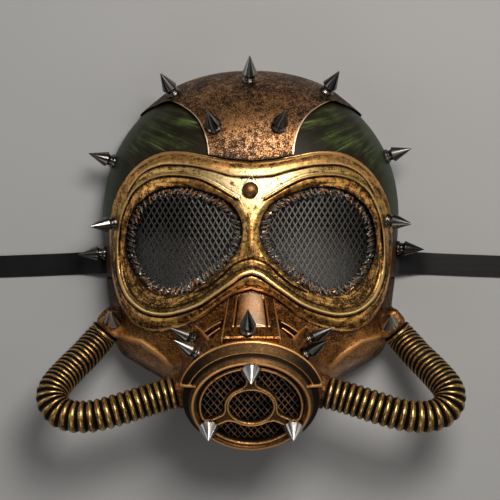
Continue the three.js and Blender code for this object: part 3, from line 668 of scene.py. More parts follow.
# %% Green finish
def dry_brushed_green():
    paint = Finish("green_dry_brushed")
    stroke, across = paint.mark("stroke"), paint.mark("across")
    hair = paint.cloud(1.0, 5.0, 0.68, paint.spot(stroke * 26.0, across * 620.0, 0.0), 0.9)
    lock = paint.cloud(1.0, 3.0, 0.6, paint.spot(stroke * 34.0, across * 110.0, 3.0), 0.9)
    patch = paint.cloud(70.0, 2.0)
    near, smooth = paint.mark("near_plate"), paint.mark("smooth")
    streak = hair * 0.65 + lock * 0.85 + (patch - 0.5) * 0.45 - near * 0.2
    colour = paint.blend(streak.step(0.52, 0.88), (0.005, 0.006, 0.002), (0.042, 0.060, 0.016))
    pale = (hair * 1.1 + lock * 0.4 - near * 0.08).step(0.80, 0.92)
    colour = paint.blend(pale * (1 - smooth) * 0.8, colour, (0.125, 0.15, 0.068))
    colour = paint.blend(near * (1 - streak.step(0.6, 0.9)) * 0.7, colour, (0.014, 0.008, 0.003))
    side = paint.blend(paint.cloud(90.0, 4.0), (0.016, 0.023, 0.011), (0.031, 0.042, 0.021))
    colour = paint.blend(smooth, colour, side)
    copper_side = paint.mark("copper_side")
    speck = paint.cloud(900.0, 3.0, 0.65)
    brown = paint.blend(speck.step(0.42, 0.62), (0.02, 0.010, 0.006), (0.14, 0.066, 0.03))
    colour = paint.blend(copper_side, colour, brown)
    grain = paint.bump(hair, 0.35, 0.0004)
    return paint.wear(colour=colour, rough=0.42 + hair * 0.14, metal=copper_side * 0.6, normal=grain,
                      specular=0.18)


green = dry_brushed_green()
print("green paint brushed on")

# %% The crown shell
SEAM_GAP = 0.15
SLOT = np.array([(86.5, -16), (102.5, -16), (102.5, 0), (86.5, 0)])
SLOT_LOW, SLOT_HIGH = 5.5, 8.3
CROWN_ROWS = 120
crown_ys = crowded(SEAM + SEAM_GAP, CROWN, CROWN_ROWS)
inside_ys = crowded(SEAM + SEAM_GAP, CROWN - WALL, CROWN_ROWS)
crown_shape = mesh_object("crown_shell_skin", *slab(
    form_rows(crown_ys, arch, 0.0), form_rows(inside_ys, arch, -WALL),
))
for side in (-1, 1):
    carve(crown_shape, mesh_object("eye_cutter", *prism(eye_outline(CLEAR, side), ABOVE_RIM, OVER)))
    carve(crown_shape, mesh_object("ribbon_cutter", *prism(SLOT * (side, 1), SLOT_LOW, SLOT_HIGH)))


# The strokes fan out from a place beyond the rim towards the plate
BRUSHED_FROM = (128.0, 106.0)


def crown_marks(points):
    x, y, z = points.T
    near = off_line(x, y, edge_line)
    goggles = distance_to_line(points, goggle_outline(0))
    from_x, from_y = BRUSHED_FROM[0] - np.abs(x), BRUSHED_FROM[1] - y
    stroke = np.hypot(from_x, from_y) / 1000
    across = np.arctan2(from_y, from_x) * 0.078
    smooth = soft_step(np.abs(x) / np.maximum(half_width(y), 1), 0.84, 0.97)
    return {
        "stroke": stroke, "across": across, "smooth": smooth,
        "near_plate": np.clip(np.exp(-near / 11) + 0.9 * np.exp(-goggles / 7), 0, 1),
        "copper_side": 1 - soft_step(y, -4, 14),
    }


settle(crown_shape, green, "crown_shell", crown_marks)

# %% [markdown]
# ## Goggle frame
# One gold casting runs round both eyes. Across its width it has a rolled outer edge, a broad band,
# a groove over the brow, a thin bright ridge and a sloping lip down to the mesh. A section like that
# is easiest to write as a height over the radius, added up from bumps and grooves, and swept round
# each eye. The two halves share their points on the middle line.


# %% Gold finish
def gold_paint():
    paint = Finish("gold_rubbed")
    wash, bare, lip, glow = (paint.mark(m) for m in ("wash", "bare", "lip", "glow"))
    fine = paint.cloud(950.0, 3.0, 0.65)
    patch = paint.cloud(280.0, 3.0, 0.6)
    drag_place = paint.spot(paint.mark("stroke") * 70.0, paint.mark("across") * 650.0, 0.0)
    drag = paint.cloud(1.0, 3.0, 0.6, drag_place, 0.6)
    # A painted highlight covers more of the dark and turns the gold pale; the dark wash in the hollows and
    # painted shade turn it black.
    cover = fine * 0.65 + drag * 0.55 + (patch - 0.5) * 0.55 + glow * 0.09 - wash * 0.3
    worn = cover.step(0.46, 0.68)
    gold = paint.blend(glow, (0.53, 0.305, 0.075), (0.84, 0.65, 0.36))
    brown = paint.blend(patch.step(0.4, 0.6), (0.33, 0.14, 0.036), (0.72, 0.37, 0.095))
    body = paint.blend(lip, gold, brown)
    dark = paint.blend(lip, (0.075, 0.036, 0.009), (0.022, 0.011, 0.005))
    colour = paint.blend(worn, dark, body)
    spark = paint.cloud(1300.0, 2.0, 0.6) + (drag - 0.5) * 0.4
    light_gold = paint.blend(lip, (0.90, 0.65, 0.26), (0.80, 0.45, 0.17))
    colour = paint.blend(spark.step(0.56, 0.70) * 0.5, colour, light_gold)
    edge = (bare * (0.4 + fine * 0.6 + drag * 0.5) - wash * 0.3).step(0.35, 0.95)
    colour = paint.blend(edge * 0.9, colour, light_gold)
    colour = paint.blend(wash.step(0.35, 0.95) * 0.92, colour, (0.008, 0.005, 0.003))
    rough = 0.46 - worn * 0.13 + wash * 0.25 + glow * 0.1 + (fine - 0.5) * 0.1
    grain = paint.bump(fine * 0.6 + drag * 0.4, 0.35, 0.0005)
    return paint.wear(colour=colour, rough=rough, metal=0.92, normal=grain)


gold = gold_paint()
print("gold rubbed over brown")

# %% Lines of the frame
WRAP, FRONT, BROW_LEAN, SEAT = 105.0, 86.0, 0.0012, 0.95
# Finer steps round the eye where the lines run into the nose
FRAME_TURNS = np.concatenate([
    np.arange(0, 60, 0.75), np.arange(60, 312, 1.5), np.arange(312, 360, 0.75),
])[:, None]
# Angle round the eye and radius; near the nose the lines run level into the middle
RIDGE_LINE = [
    (38, 41.5), (45, 39.8), (60, 38.6), (75, 39), (90, 39.6), (105, 41.3), (120, 43), (135, 43.5),
    (150, 42.2), (165, 41.2), (180, 41.2), (195, 42.8), (210, 45.8), (225, 48.4), (240, 48.5), (255, 45.6),
    (270, 41.6), (285, 38.9), (300, 37), (308, 36.9), (315, 37.4), (322, 38.4), (329.5, 40.2), (333, 42.3),
    (335.8, 45),
]
BROW_LINE = [
    (42.8, 55.4), (53.6, 48), (68.4, 45.2), (84, 44.9), (95.6, 45.7), (107, 47.3), (119, 47.9),
    (129.5, 46.8), (138, 44.9),
]
LOW_LINE = [(284, 31.6), (296, 31.4), (308.8, 31.3), (322, 31.8), (337.4, 34.8), (346, 42.2)]


def drawn_line(rows):
    """A smooth line through rows of angle and radius, for the eye on the left."""
    x, y = eye_place(*np.array(rows, float).T)
    return smooth_line(np.column_stack([x, y, 0 * x]), 90)[0][:, :2]


def line_radius(rows, elsewhere):
    """Radius of a drawn line at each turn, or another one where it isn't drawn."""
    rows = np.array(rows)
    inside = (FRAME_TURNS >= rows[0, 0]) & (FRAME_TURNS <= rows[-1, 0])
    return np.where(inside, np.interp(FRAME_TURNS, *rows.T), elsewhere)


def goggle_face(x, y):
    """Height of the curved sheet that the front of the frame follows."""
    wrap = WRAP - np.sqrt(WRAP ** 2 - x ** 2)
    return FRONT - wrap - BROW_LEAN * np.maximum(0, y - EYE[1]) ** 2


opening = eye_radius(OPENING, FRAME_TURNS)
outer = eye_radius(OUTER, FRAME_TURNS)
at_middle = outer > middle_radius(FRAME_TURNS)
edge = np.where(at_middle, middle_radius(FRAME_TURNS), outer)
ridge = np.interp(FRAME_TURNS, *np.array(RIDGE_LINE).T)
brow = line_radius(BROW_LINE, (ridge + edge) / 2)
low = line_radius(LOW_LINE, opening + 0.35 * (ridge - opening))
# Columns of points crowd round the drawn lines, so that grooves and ridges stay sharp
knots = np.concatenate([opening, opening + 1.2, low - 1.1, low + 1.1, ridge - 2.6, ridge + 2.6,
                        brow - 1.2, brow + 1.2, edge - 1.9, edge], 1)
knots = np.minimum(np.maximum.accumulate(knots, axis=1), edge)
counts = [5, 7, 10, 9, 26, 9, 11, 9, 10]
spread = []
for start, stop, steps in zip(knots.T[:, :, None], knots.T[1:, :, None], counts):
    spread.append(start + (stop - start) * np.linspace(0, 1, steps, endpoint=False))
spread = np.concatenate(spread + [edge], 1)
radius = 0.88 * spread + 0.12 * (opening + (edge - opening) * np.linspace(0, 1, spread.shape[1]))
front_x, front_y = eye_place(FRAME_TURNS, radius)
front_x = np.minimum(front_x, 0)
print("frame drawn with", radius.size, "points round each eye")

# %% Soft shapes across the frame
def between(degrees, start, stop, soft):
    """1 between two angles, fading over `soft` degrees at each end."""
    middle, half = (start + stop) / 2, (stop - start) / 2
    off = np.abs((degrees - middle + 180) % 360 - 180)
    return 1 - soft_step(off, half - soft / 2, half + soft / 2)


def bead(off, width):
    """A round bead, 1 along its middle."""
    return np.sqrt(np.maximum(0, 1 - (off / width) ** 2))


def bell(off, width):
    """A soft hump that runs out level."""
    return 0.5 + 0.5 * np.cos(np.pi * np.clip(off / width, -1, 1))


print("beads and bells can be drawn across the frame")

# %% Heights of the frame
under = between(FRAME_TURNS, 198, 352, 30)
bridge = between(FRAME_TURNS, -26, 33, 14)
# How far each point lies from the drawn lines
off_ridge = off_line(front_x, front_y, drawn_line(RIDGE_LINE))
off_brow = off_line(front_x, front_y, drawn_line(BROW_LINE))
off_low = off_line(front_x, front_y, drawn_line(LOW_LINE))
outline = goggle_outline(0)
off_outer = off_line(front_x, front_y, np.concatenate([outline, outline[:1]]))
off_hole = off_line(front_x, front_y, eye_outline(0.0))
inner_side = soft_step(ridge - radius, -0.3, 0.3)
inside_ridge = inner_side * (1 - bridge)

# The band outside the ridge and the lip inside it
inward = np.clip((ridge - radius) / np.maximum(ridge - opening, 1), 0, 1)
band = -0.5 - 4.4 * np.clip(1 - off_outer / 6.5, 0, 1) ** 2.2 - 0.7 * under
lip = -1.0 - 0.9 * inward - under * 1.2 * np.sin(np.pi * inward)
rise = band * (1 - inside_ridge) + lip * inside_ridge
rise = rise * (1 - bridge) + np.maximum(-0.3, band) * bridge
rise -= 2.0 * np.clip(1 - off_hole / 3.2, 0, 1) ** 2
# The ridge and the thin dark lines beside it
ridge_out = bead(off_ridge, 0.8 + 0.5 * under)
ridge_in = bead(off_ridge, 0.8) * (1 - under) + bell(off_ridge, 4.8) * under
ridge_top = ridge_in * inner_side + ridge_out * (1 - inner_side)
rise += (0.95 + 0.3 * under - rise) * ridge_top
line_in = dip(off_ridge - 1.25, 0.42) * (1 - under) + 0.6 * dip(off_ridge - 3.1, 0.42) * under
line_out = dip(off_ridge - 1.75 - 0.2 * under, 0.42) * (1 - inner_side) * (0.15 + 0.85 * under)
ridge_lines = inner_side * line_in + line_out
# Grooves, the rolled edge and the ridge over the nose
brow_groove = dip(off_brow, 0.6)
low_groove = dip(off_low, 0.55)
rolled = dip(off_outer - 1.0, 0.75)
nose_ridge = 0.9 * dip(front_x, 2.6) * soft_step(front_y, -6, 0) * (1 - soft_step(front_y, 14, 26))
low_step = -0.6 * soft_step(-front_y, 4.0, 6.0) * bridge
rise += nose_ridge + low_step - 0.9 * ridge_lines - 1.1 * brow_groove - 0.9 * low_groove + 0.7 * rolled
front = np.maximum(goggle_face(front_x, front_y) + rise, form_height(front_x, front_y) + SEAT + 0.8)
print("frame stands", round(float(front.max()), 1), "mm high")

# %% Marks on the frame
crest_line = dip(off_ridge, 0.9)
top_band = between(FRAME_TURNS, 50, 142, 30) * soft_step(radius - brow, -1, 1)
frame_marks = {
    "wash": ridge_lines + 0.95 * brow_groove + 0.75 * low_groove + 0.3 * dip(off_outer - 2.6, 0.9)
            + 0.3 * under * inside_ridge * np.sin(np.pi * inward) * (1 - ridge_top)
            + 0.5 * dip(off_hole, 1.2) * (1 - bridge),
    "bare": 0.8 * crest_line + (0.3 + 0.5 * under) * rolled + 0.35 * dip(off_brow - 1.0, 0.5)
            + 0.35 * under * ridge_top + 0.6 * top_band,
    "lip": inside_ridge * (1 - 0.8 * ridge_top) * (1 - 0.35 * under) + 0.85 * dip(off_outer, 4.8)
           + 0.6 * under * soft_step(radius - ridge, 1.2, 2.4)
           + 0.65 * bridge * (1 - soft_step(front_y, 20, 30)) + 0.7 * top_band,
    "stroke": np.broadcast_to(np.radians(FRAME_TURNS) * 0.045, radius.shape),
    "across": (radius - ridge) / 1000,
}
print(len(frame_marks), "marks on the frame")

# %% The frame
steps, columns = radius.shape
BACK_COLUMNS = 9
back_radius = opening + (edge - opening) * np.linspace(0, 1, BACK_COLUMNS)
back_x, back_y = eye_place(FRAME_TURNS, back_radius)
back_x = np.minimum(back_x, 0)
half_points = np.concatenate([
    np.stack([front_x, front_y, front], -1).reshape(-1, 3),
    np.stack([back_x, back_y, form_height(back_x, back_y) + SEAT], -1).reshape(-1, 3),
])
count = steps * columns


def round_faces(rows, columns):
    """Faces of a grid whose last row joins its first."""
    quads = grid_faces(rows + 1, columns)
    return np.where(quads >= rows * columns, quads - rows * columns, quads)


here = np.arange(steps)
beside = (here + 1) % steps
open_side = ~(at_middle[here, 0] & at_middle[beside, 0])
hole_wall = np.stack([here * columns, beside * columns, count + beside * BACK_COLUMNS,
                      count + here * BACK_COLUMNS], -1)
edge_wall = hole_wall[:, ::-1] + np.repeat([BACK_COLUMNS - 1, columns - 1], 2)
half_faces = np.concatenate([
    round_faces(steps, columns), round_faces(steps, BACK_COLUMNS)[:, ::-1] + count,
    hole_wall, edge_wall[open_side],
])
# The brow gets a painted highlight, and the bridge and the top band weaker ones
glow = (dip(half_points[:, 0], 36) * dip(half_points[:, 1] - 40, 16)
        + 0.1 * dip(half_points[:, 0], 12) * dip(half_points[:, 1] - 10, 20))
glow[:count] += (0.35 * top_band).ravel()
marks = {"glow": np.tile(glow, 2)}
for label, values in frame_marks.items():
    behind = np.full(steps * BACK_COLUMNS, 1.0 if label == "wash" else 0.0)
    marks[label] = np.tile(np.concatenate([values.ravel(), behind]), 2)
frame_shape = mesh_object("goggle_frame_cast", *joined(
    (half_points, half_faces), (half_points * (-1, 1, 1), half_faces[:, ::-1])), marks)
settle(frame_shape, gold, "goggle_frame")

# %% [markdown]
# ## Face shell
# Cheeks, hose ports, muzzle tube and sockets are one moulding that flows together without sharp
# corners. Such a shape is hard to draw as a grid, but easy to describe as distances: each part gives
# the distance to its surface, a soft minimum joins them, and a volume mesher finds the zero level.

# %% The muzzle's own axes
FILTER_Y, FILTER_Z, TILT = -93.0, 92.0, math.radians(38)
RING_UP = np.array([0, math.cos(TILT), math.sin(TILT)])
RING_OUT = np.array([0, -math.sin(TILT), math.cos(TILT)])


def to_filter(x, y, z):
    """From the mask's axes to the muzzle's: across, up its ring and out along its axis."""
    up = (y - FILTER_Y) * RING_UP[1] + (z - FILTER_Z) * RING_UP[2]
    out = (y - FILTER_Y) * RING_OUT[1] + (z - FILTER_Z) * RING_OUT[2]
    return x, up, out


def on_filter(across, up, out):
    """From the muzzle's axes back to the mask's."""
    across, up, out = np.broadcast_arrays(across, up, out)
    return np.stack([across, FILTER_Y + up * RING_UP[1] + out * RING_OUT[1],
                     FILTER_Z + up * RING_UP[2] + out * RING_OUT[2]], -1)


print("the muzzle leans", round(math.degrees(TILT)), "degrees towards the chin")

# %% Distances to the form and to the muzzle tube
TUBE, TUBE_FRONT, TUBE_LENGTH = 41.0, -8.0, 62.0
CELL = 0.95
# Cells of the half field that lie past the middle
BESIDE = 3
xs = np.arange(-BESIDE * CELL, 112, CELL, dtype=np.float32)
ys = np.arange(-131, SEAM + 3, CELL, dtype=np.float32)
zs = np.arange(-3 * CELL, 118, CELL, dtype=np.float32)
grid_x, grid_y, grid_z = np.meshgrid(xs, ys, zs, indexing="ij", sparse=True)


def soft_union(first, second, reach):
    """Two distances joined with a fillet between them."""
    near = np.maximum(reach - np.abs(first - second), 0) / reach
    return np.minimum(first, second) - near * near * reach * 0.25


def form_distance(grow):
    """Signed distance, near the surface, to the arched form."""
    across, up = arch_powers(grid_y)
    wide = np.maximum(half_width(grid_y, grow), 1e-3)
    high = np.maximum(crest(grid_y, grow), 1e-3)
    level = (np.abs(grid_x) / wide) ** across + (np.maximum(grid_z, 0) / high) ** up
    level = np.minimum(level, 12).astype(np.float32) ** np.float32(0.4)
    slope = np.sqrt(sum(g * g for g in np.gradient(level, CELL)))
    return np.clip((level - 1) / np.maximum(slope, 2e-3), -14, 14)


_, ring_up, along = to_filter(grid_x, grid_y, grid_z)
round_tube = np.sqrt(grid_x ** 2 + ring_up ** 2)


def tube_distance(tube_radius, front, length):
    return np.maximum(round_tube - tube_radius, np.maximum(along - front, front - length - along))


print("a grid of", grid_x.size, "by", grid_y.size, "by", grid_z.size, "cells for one half")

# %% Hose ports and sockets
HOSE_ROUTE = np.array([
    (90.9, -50.6, 25.5), (93.5, -53.7, 25.5), (96.1, -56.7, 26.9), (98.4, -59.5, 29.5),
    (101.1, -62.7, 33.3), (104.3, -66.4, 38), (109, -71.1, 45), (113.5, -76, 51.2),
    (116.7, -79.8, 55.7), (119.3, -83.5, 59.2), (120.8, -87.8, 62.1), (119.8, -93, 64.7),
    (115.3, -97.8, 67.2), (107.4, -100.3, 69.5), (95.5, -100, 71), (81.1, -96.5, 70.6),
    (66.8, -92.1, 69.1), (55.4, -88.6, 67.6), (45.9, -86.2, 66.6),
])
PORT_WIDTH, PORT_DEPTH, PORT_LOW, PORT_HIGH, PORT_ROUNDING = 18.0, 13.0, 9.0, 37.0, 4.0
SOCKET, SOCKET_LENGTH = 10.4, 16.0

route, hose_length = smooth_line(HOSE_ROUTE, 400)
leave = unit(route[1] - route[0])
enter = unit(route[-1] - route[-2])
flat = leave * (1, 1, 0) / np.linalg.norm(leave[:2])
port_x, port_y = grid_x - route[0][0], grid_y - route[0][1]
out_of_port = port_x * flat[0] + port_y * flat[1]
over_port = -port_x * flat[1] + port_y * flat[0]
port_box = [
    np.abs(over_port) - PORT_WIDTH / 2,
    np.abs(out_of_port + PORT_DEPTH / 2 + GAP / 2) - PORT_DEPTH / 2,
    np.abs(grid_z - (PORT_LOW + PORT_HIGH) / 2) - (PORT_HIGH - PORT_LOW) / 2,
]
port_out = [np.maximum(side + PORT_ROUNDING, 0) for side in port_box]
port = np.sqrt(sum(side * side for side in port_out)) - PORT_ROUNDING
socket_x, socket_y, socket_z = grid_x - route[-1][0], grid_y - route[-1][1], grid_z - route[-1][2]
into = socket_x * enter[0] + socket_y * enter[1] + socket_z * enter[2]
round_socket = np.sqrt(np.maximum(socket_x ** 2 + socket_y ** 2 + socket_z ** 2 - into ** 2, 0))
socket = np.maximum(round_socket - SOCKET, np.maximum(GAP - into, into - SOCKET_LENGTH))

print("each hose runs", round(hose_length, 1), "mm from port to socket")

# %% Copper face as a field of distances
CHEEK_LINE = np.array([
    (92, -50.5), (85.5, -51), (81, -54), (68, -56), (62, -59.6), (55.6, -64), (48, -71),
])

cheek_spots = np.stack(np.broadcast_arrays(grid_x, grid_y), -1)[:, :, 0].reshape(-1, 2)
cheek_off = distance_to_line(cheek_spots, CHEEK_LINE).reshape(len(xs), len(ys))
cheek_side = np.interp(grid_x[:, :, 0], CHEEK_LINE[::-1, 0], CHEEK_LINE[::-1, 1]) - grid_y[:, :, 0]
cheek_span = soft_step(grid_x[:, :, 0], 46, 56)
cheek_bump = cheek_span * (1.3 * dip(cheek_off, 1.5) - 1.1 * soft_step(cheek_side, 0, 3))
cheek_bump = cheek_bump[:, :, None] * soft_step(grid_z, 18, 30)

outside = form_distance(0.0) - cheek_bump.astype(np.float32)
under_chin = soft_step(-grid_y, 78, 98) * (1 - soft_step(grid_z, 42, 62))
outside = soft_union(outside, tube_distance(TUBE, TUBE_FRONT, TUBE_LENGTH), 7 + 15 * under_chin)
outside = soft_union(outside, port, 2.5)
outside = soft_union(outside, socket, 3.0)
hollow = np.minimum(form_distance(-WALL), tube_distance(TUBE - WALL, TUBE_FRONT + 3, TUBE_LENGTH + 5.5))
face_field = np.maximum(outside, -hollow)

to_eye = np.sqrt((grid_x - EYE[0]) ** 2 + (grid_y - EYE[1]) ** 2)
eye_turn = np.degrees(np.arctan2(grid_y - EYE[1], EYE[0] - grid_x)) % 360
eye_hole = np.maximum(to_eye - eye_radius(OPENING, eye_turn) - CLEAR, ABOVE_RIM - grid_z)
goggle_room = np.maximum(to_eye - eye_radius(OUTER, eye_turn) - GAP, -form_distance(0.0))
face_field = np.maximum(face_field, -eye_hole)
face_field = np.maximum(face_field, -goggle_room)
print("field of", face_field.size, "cells")

# %% Louvre pockets, floor and seam
# Corners of the pocket: the way round the tube's skin and the way along its axis
POCKET = np.array([(17.0, -37.2), (31.4, -34.6), (25.2, -23.6), (18.0, -29.0)])
POCKET_DEPTH = 1.9

around_tube = np.arctan2(grid_x, ring_up) * TUBE
pocket = np.abs(round_tube - TUBE) - POCKET_DEPTH
for start, stop in zip(POCKET, np.roll(POCKET, -1, 0)):
    way = unit(stop - start)
    side_off = (around_tube - start[0]) * way[1] - (along - start[1]) * way[0]
    pocket = np.maximum(pocket, side_off)
face_field = np.maximum(face_field, -pocket)
face_field = np.maximum(face_field, grid_y - SEAM + SEAM_GAP)
face_field = np.maximum(face_field, -grid_z)

# The distance that stands for empty space
EMPTY = 4.0


def both_sides(field):
    """The half field, with its mirror image in front of it."""
    right = field[BESIDE:]
    return np.concatenate([right[:0:-1], right], 0)


def skin_of(field, cell, corner):
    """Points and faces where a field of distances is zero."""
    grid = openvdb.FloatGrid(EMPTY)
    grid.copyFromArray(np.ascontiguousarray(field.astype(np.float32)))
    points, quads = grid.convertToQuads(0.0)
    return points * cell + corner, quads.tolist()


whole_field = both_sides(face_field)
corner = (-(len(xs) - BESIDE - 1) * CELL, float(ys[0]), float(zs[0]))
face_shape = mesh_object("face_shell_moulded", *skin_of(whole_field, CELL, corner))
print("face skin of", len(face_shape.data.polygons), "quads")

# %% Bare edges and dark hollows of the face, from the bend of the field
blurred = np.clip(whole_field, -6, 6)
for axis in 3 * (0, 1, 2):
    blurred = (np.roll(blurred, 1, axis) + blurred + np.roll(blurred, -1, axis)) / 3
bend = sum(np.roll(blurred, 1, a) + np.roll(blurred, -1, a) - 2 * blurred for a in (0, 1, 2))
whole_hollow = both_sides(hollow)
CREASE_LINE = np.array([(33.0, -45.6), (29.2, -48.4), (25.2, -52.4)])


def field_at(values, points):
    """Values of a field between its cells."""
    place = np.clip((points - corner) / CELL, 0, np.array(values.shape) - 1.001)
    low = place.astype(int)
    share = place - low
    total = 0
    for step in np.ndindex(2, 2, 2):
        weight = np.prod(np.where(step, share, 1 - share), axis=1)
        total = total + weight * values[tuple((low + step).T)]
    return total


def face_marks(points):
    y, z = points[:, 1], points[:, 2]
    x, up, out = to_filter(*points.T)
    from_axis = np.hypot(x, up)
    curve = field_at(bend, points)
    goggles = distance_to_line(points, goggle_outline(0))
    inside = field_at(whole_hollow, points) < 1.2
    cheek, crease = off_line(x, y, CHEEK_LINE), off_line(x, y, CREASE_LINE)
    sunk = (from_axis < TUBE - 0.5) & (np.abs(out + 31) < 9) & (up > 20)
    tube_side = soft_step(from_axis, 36, 40) * soft_step(-up, -16, 4) * (out > -32)
    bare = np.clip(curve * 1.3 - 0.1, 0, 0.8) + 0.45 * dip(cheek, 1.5) * (z > 20)
    bare += 0.75 * dip(crease, 0.6) * (z > 40)
    bare *= soft_step(SEAM - y, 1.0, 3.0)
    # Besides the dark wash in the hollows, shade is painted next to the goggles, in the sunk pockets, on the
    # low sides facing the floor and on the tube's sides; the cheek ridge gets a painted highlight, most near
    # the port. The inside is black.
    wash = np.clip(-curve * 1.2 - 0.08, 0, 0.8) + 0.7 * np.exp(-goggles / 3.0) + 0.9 * sunk
    wash += 0.6 * soft_step(-z, -44, -14) + 0.5 * tube_side
    glow = 0.15 * dip(cheek, 9) + 0.4 * dip(np.abs(x) - 83, 8) * dip(y + 56, 4)
    return {"bare": bare * ~inside, "wash": wash + inside, "glow": glow}


settle(face_shape, copper, "face_shell", face_marks, crease=60)

# %% [markdown]
# ## Nose block
# Between the goggles and the filter stands a stepped block: two darker side panels and a rounded middle
# panel with a painted highlight, between thin raised ribs. Its section is a height over the width,
# lofted along the filter's axis while it narrows towards the brow.

# %% Section of the nose block
NOSE_FRONT, NOSE_BACK, NOSE_TOP, NOSE_FOOT = -14.2, -60.0, 42.6, 30.0
NOSE_WIDE = (17.5, 13.0)
PANEL_WIDE = (9.0, 6.4)
PANEL_FRONT, PANEL_BACK = -24.0, -57.0

nose_along = np.unique(np.concatenate([
    np.linspace(NOSE_FRONT, NOSE_BACK, 60), PANEL_FRONT + np.linspace(-0.8, 0.8, 7),
    NOSE_FRONT - np.linspace(0, 1.2, 5),
]))[::-1][:, None]
nose_share = (nose_along - NOSE_FRONT) / (NOSE_BACK - NOSE_FRONT)
panel_share = np.clip((nose_along - PANEL_FRONT) / (PANEL_BACK - PANEL_FRONT), 0, 1)
wide = NOSE_WIDE[0] + (NOSE_WIDE[1] - NOSE_WIDE[0]) * nose_share
panel = PANEL_WIDE[0] + (PANEL_WIDE[1] - PANEL_WIDE[0]) * panel_share
half = np.concatenate([np.linspace(0, 0.8, 14), [0.9, 0.96, 1.0]])
rib = np.array([0.15, 0.35, 0.6, 0.9, 1.2, 1.5, 1.8, 2.1, 2.4])
flank = np.linspace(0.12, 1, 14) ** 0.8
half_across = np.concatenate([panel * half, panel + rib, panel + 2.4 + (wide - panel - 2.4) * flank], 1)
off_panel = half_across - panel
in_panel = soft_step(-off_panel, -0.1, 0.5)
shows = 1 - soft_step(nose_along, PANEL_FRONT - 0.5, PANEL_FRONT + 0.5)
rounded_panel = 2.2 * np.sqrt(np.maximum(0, 1 - (half_across / np.maximum(panel * 1.02, 1)) ** 2)) - 0.6
groove = dip(off_panel - 0.45, 0.4)
raised_rib = dip(off_panel - 1.5, 0.5)
nose_height = NOSE_TOP - 0.3 * soft_step(half_across, 0.3 * wide, wide)
nose_height = nose_height + shows * (in_panel * rounded_panel - 1.1 * groove + 0.75 * raised_rib)
nose_height = nose_height - 0.9 * soft_step(half_across, wide - 1.1, wide)
nose_height = nose_height - 0.8 * soft_step(nose_along, NOSE_FRONT - 1.2, NOSE_FRONT)
print("nose section drawn at", len(nose_along), "places")

# %% The nose block
across = np.concatenate([-half_across[:, :0:-1], half_across], 1)
height = np.concatenate([nose_height[:, :0:-1], nose_height], 1)
nose_shape = mesh_object("nose_block", *slab(
    on_filter(across, height, nose_along), on_filter(across, np.full_like(height, NOSE_FOOT), nose_along),
))
carve(nose_shape, mesh_object("goggle_cutter", *prism(goggle_outline(GAP), ABOVE_RIM, OVER)))
past_seam = [(-FAR, SEAM - SEAM_GAP), (FAR, SEAM - SEAM_GAP), (FAR, FAR), (-FAR, FAR)]
carve(nose_shape, mesh_object("seam_cutter", *prism(past_seam, 0, OVER)))


def nose_marks(points):
    x, up, out = to_filter(*points.T)
    panel_here = np.interp(out, [PANEL_BACK, PANEL_FRONT], PANEL_WIDE[::-1])
    wide_here = np.interp(out, [NOSE_BACK, NOSE_FRONT], NOSE_WIDE[::-1])
    off = np.abs(x) - panel_here
    on_panel = out < PANEL_FRONT + 0.5
    bare = dip(off - 1.5, 0.5) * on_panel + 0.9 * dip(np.abs(x) - wide_here + 0.5, 0.7)
    bare += 0.8 * dip(out - PANEL_FRONT + 0.2, 0.7) * (off < 2.4)
    # The side panels are darker, the flanks below the top carry painted shade, and the middle panel a painted
    # highlight that is also paler.
    wash = dip(off - 0.45, 0.45) * on_panel + 0.45 * (off > 2.6) * on_panel
    wash += 0.9 * soft_step(-up, -41.6, -39.5)
    glow = (off < 0) * on_panel * dip(x - 2.0, 7)
    return {"bare": bare, "wash": wash, "glow": glow, "pale": glow}


settle(nose_shape, copper, None, nose_marks)

# %% [markdown]
# ## Louvres
# Beside the nose each cheek has a sunk pocket with two slanted slats, their upper edges rubbed bright.
# The pocket is already in the field; the slats are thin bars bent to the tube's skin.


# %% Louvre slats
# Both ends of each slat: the way round the tube's skin and the way along its axis
SLATS = [((30.0, -33.4), (18.6, -34.9)), ((27.6, -27.0), (19.2, -29.6))]


def slat(side, start, stop):
    """A thin bar with a rounded top, standing on the floor of the pocket."""
    start, stop = np.array(start), np.array(stop)
    way = unit(stop - start)
    spots = start + (stop - start) * np.linspace(0, 1, 12)[:, None]
    section = np.linspace(0, np.pi, 9)
    offset = 0.62 * np.cos(section)
    lift = 0.62 * np.sin(section) - 0.35
    round_way = (spots[:, :1] - way[1] * offset) / TUBE
    out = spots[:, 1:] + way[0] * offset
    grids = []
    for high in (TUBE + lift, TUBE - POCKET_DEPTH - 0.6 + 0 * lift):
        grids.append(on_filter(side * high * np.sin(round_way), high * np.cos(round_way), out))
    return slab(*grids)


slats = [slat(side, *ends) for side in (-1, 1) for ends in SLATS]
louvre_shape = mesh_object("louvre_slats", *joined(*slats))


def slat_marks(points):
    x, up, out = to_filter(*points.T)
    high = np.hypot(x, up) - TUBE
    # The slats are painted dark down in the pocket, as shade.
    return {"bare": soft_step(high, -0.3, 0.1), "wash": 1 - soft_step(high, -1.0, -0.1)}


settle(louvre_shape, copper, None, slat_marks)

# %% [markdown]
# ## Filter housing and grille
# The filter is a turned ring with a half collar over it and a three-spoked grille inside. Turning a
# rounded profile gives the ring. The grille is a fine field of distances, like the face, with a rolled
# rim round each window, because its rounded corners run together as they do in a casting.

# %% Bronze finish
bronze = rubbed_paint("bronze_rubbed", (0.016, 0.007, 0.003), (0.115, 0.042, 0.012),
                      (0.92, 0.48, 0.17), 0.1)
print("bronze rubbed over black-brown")

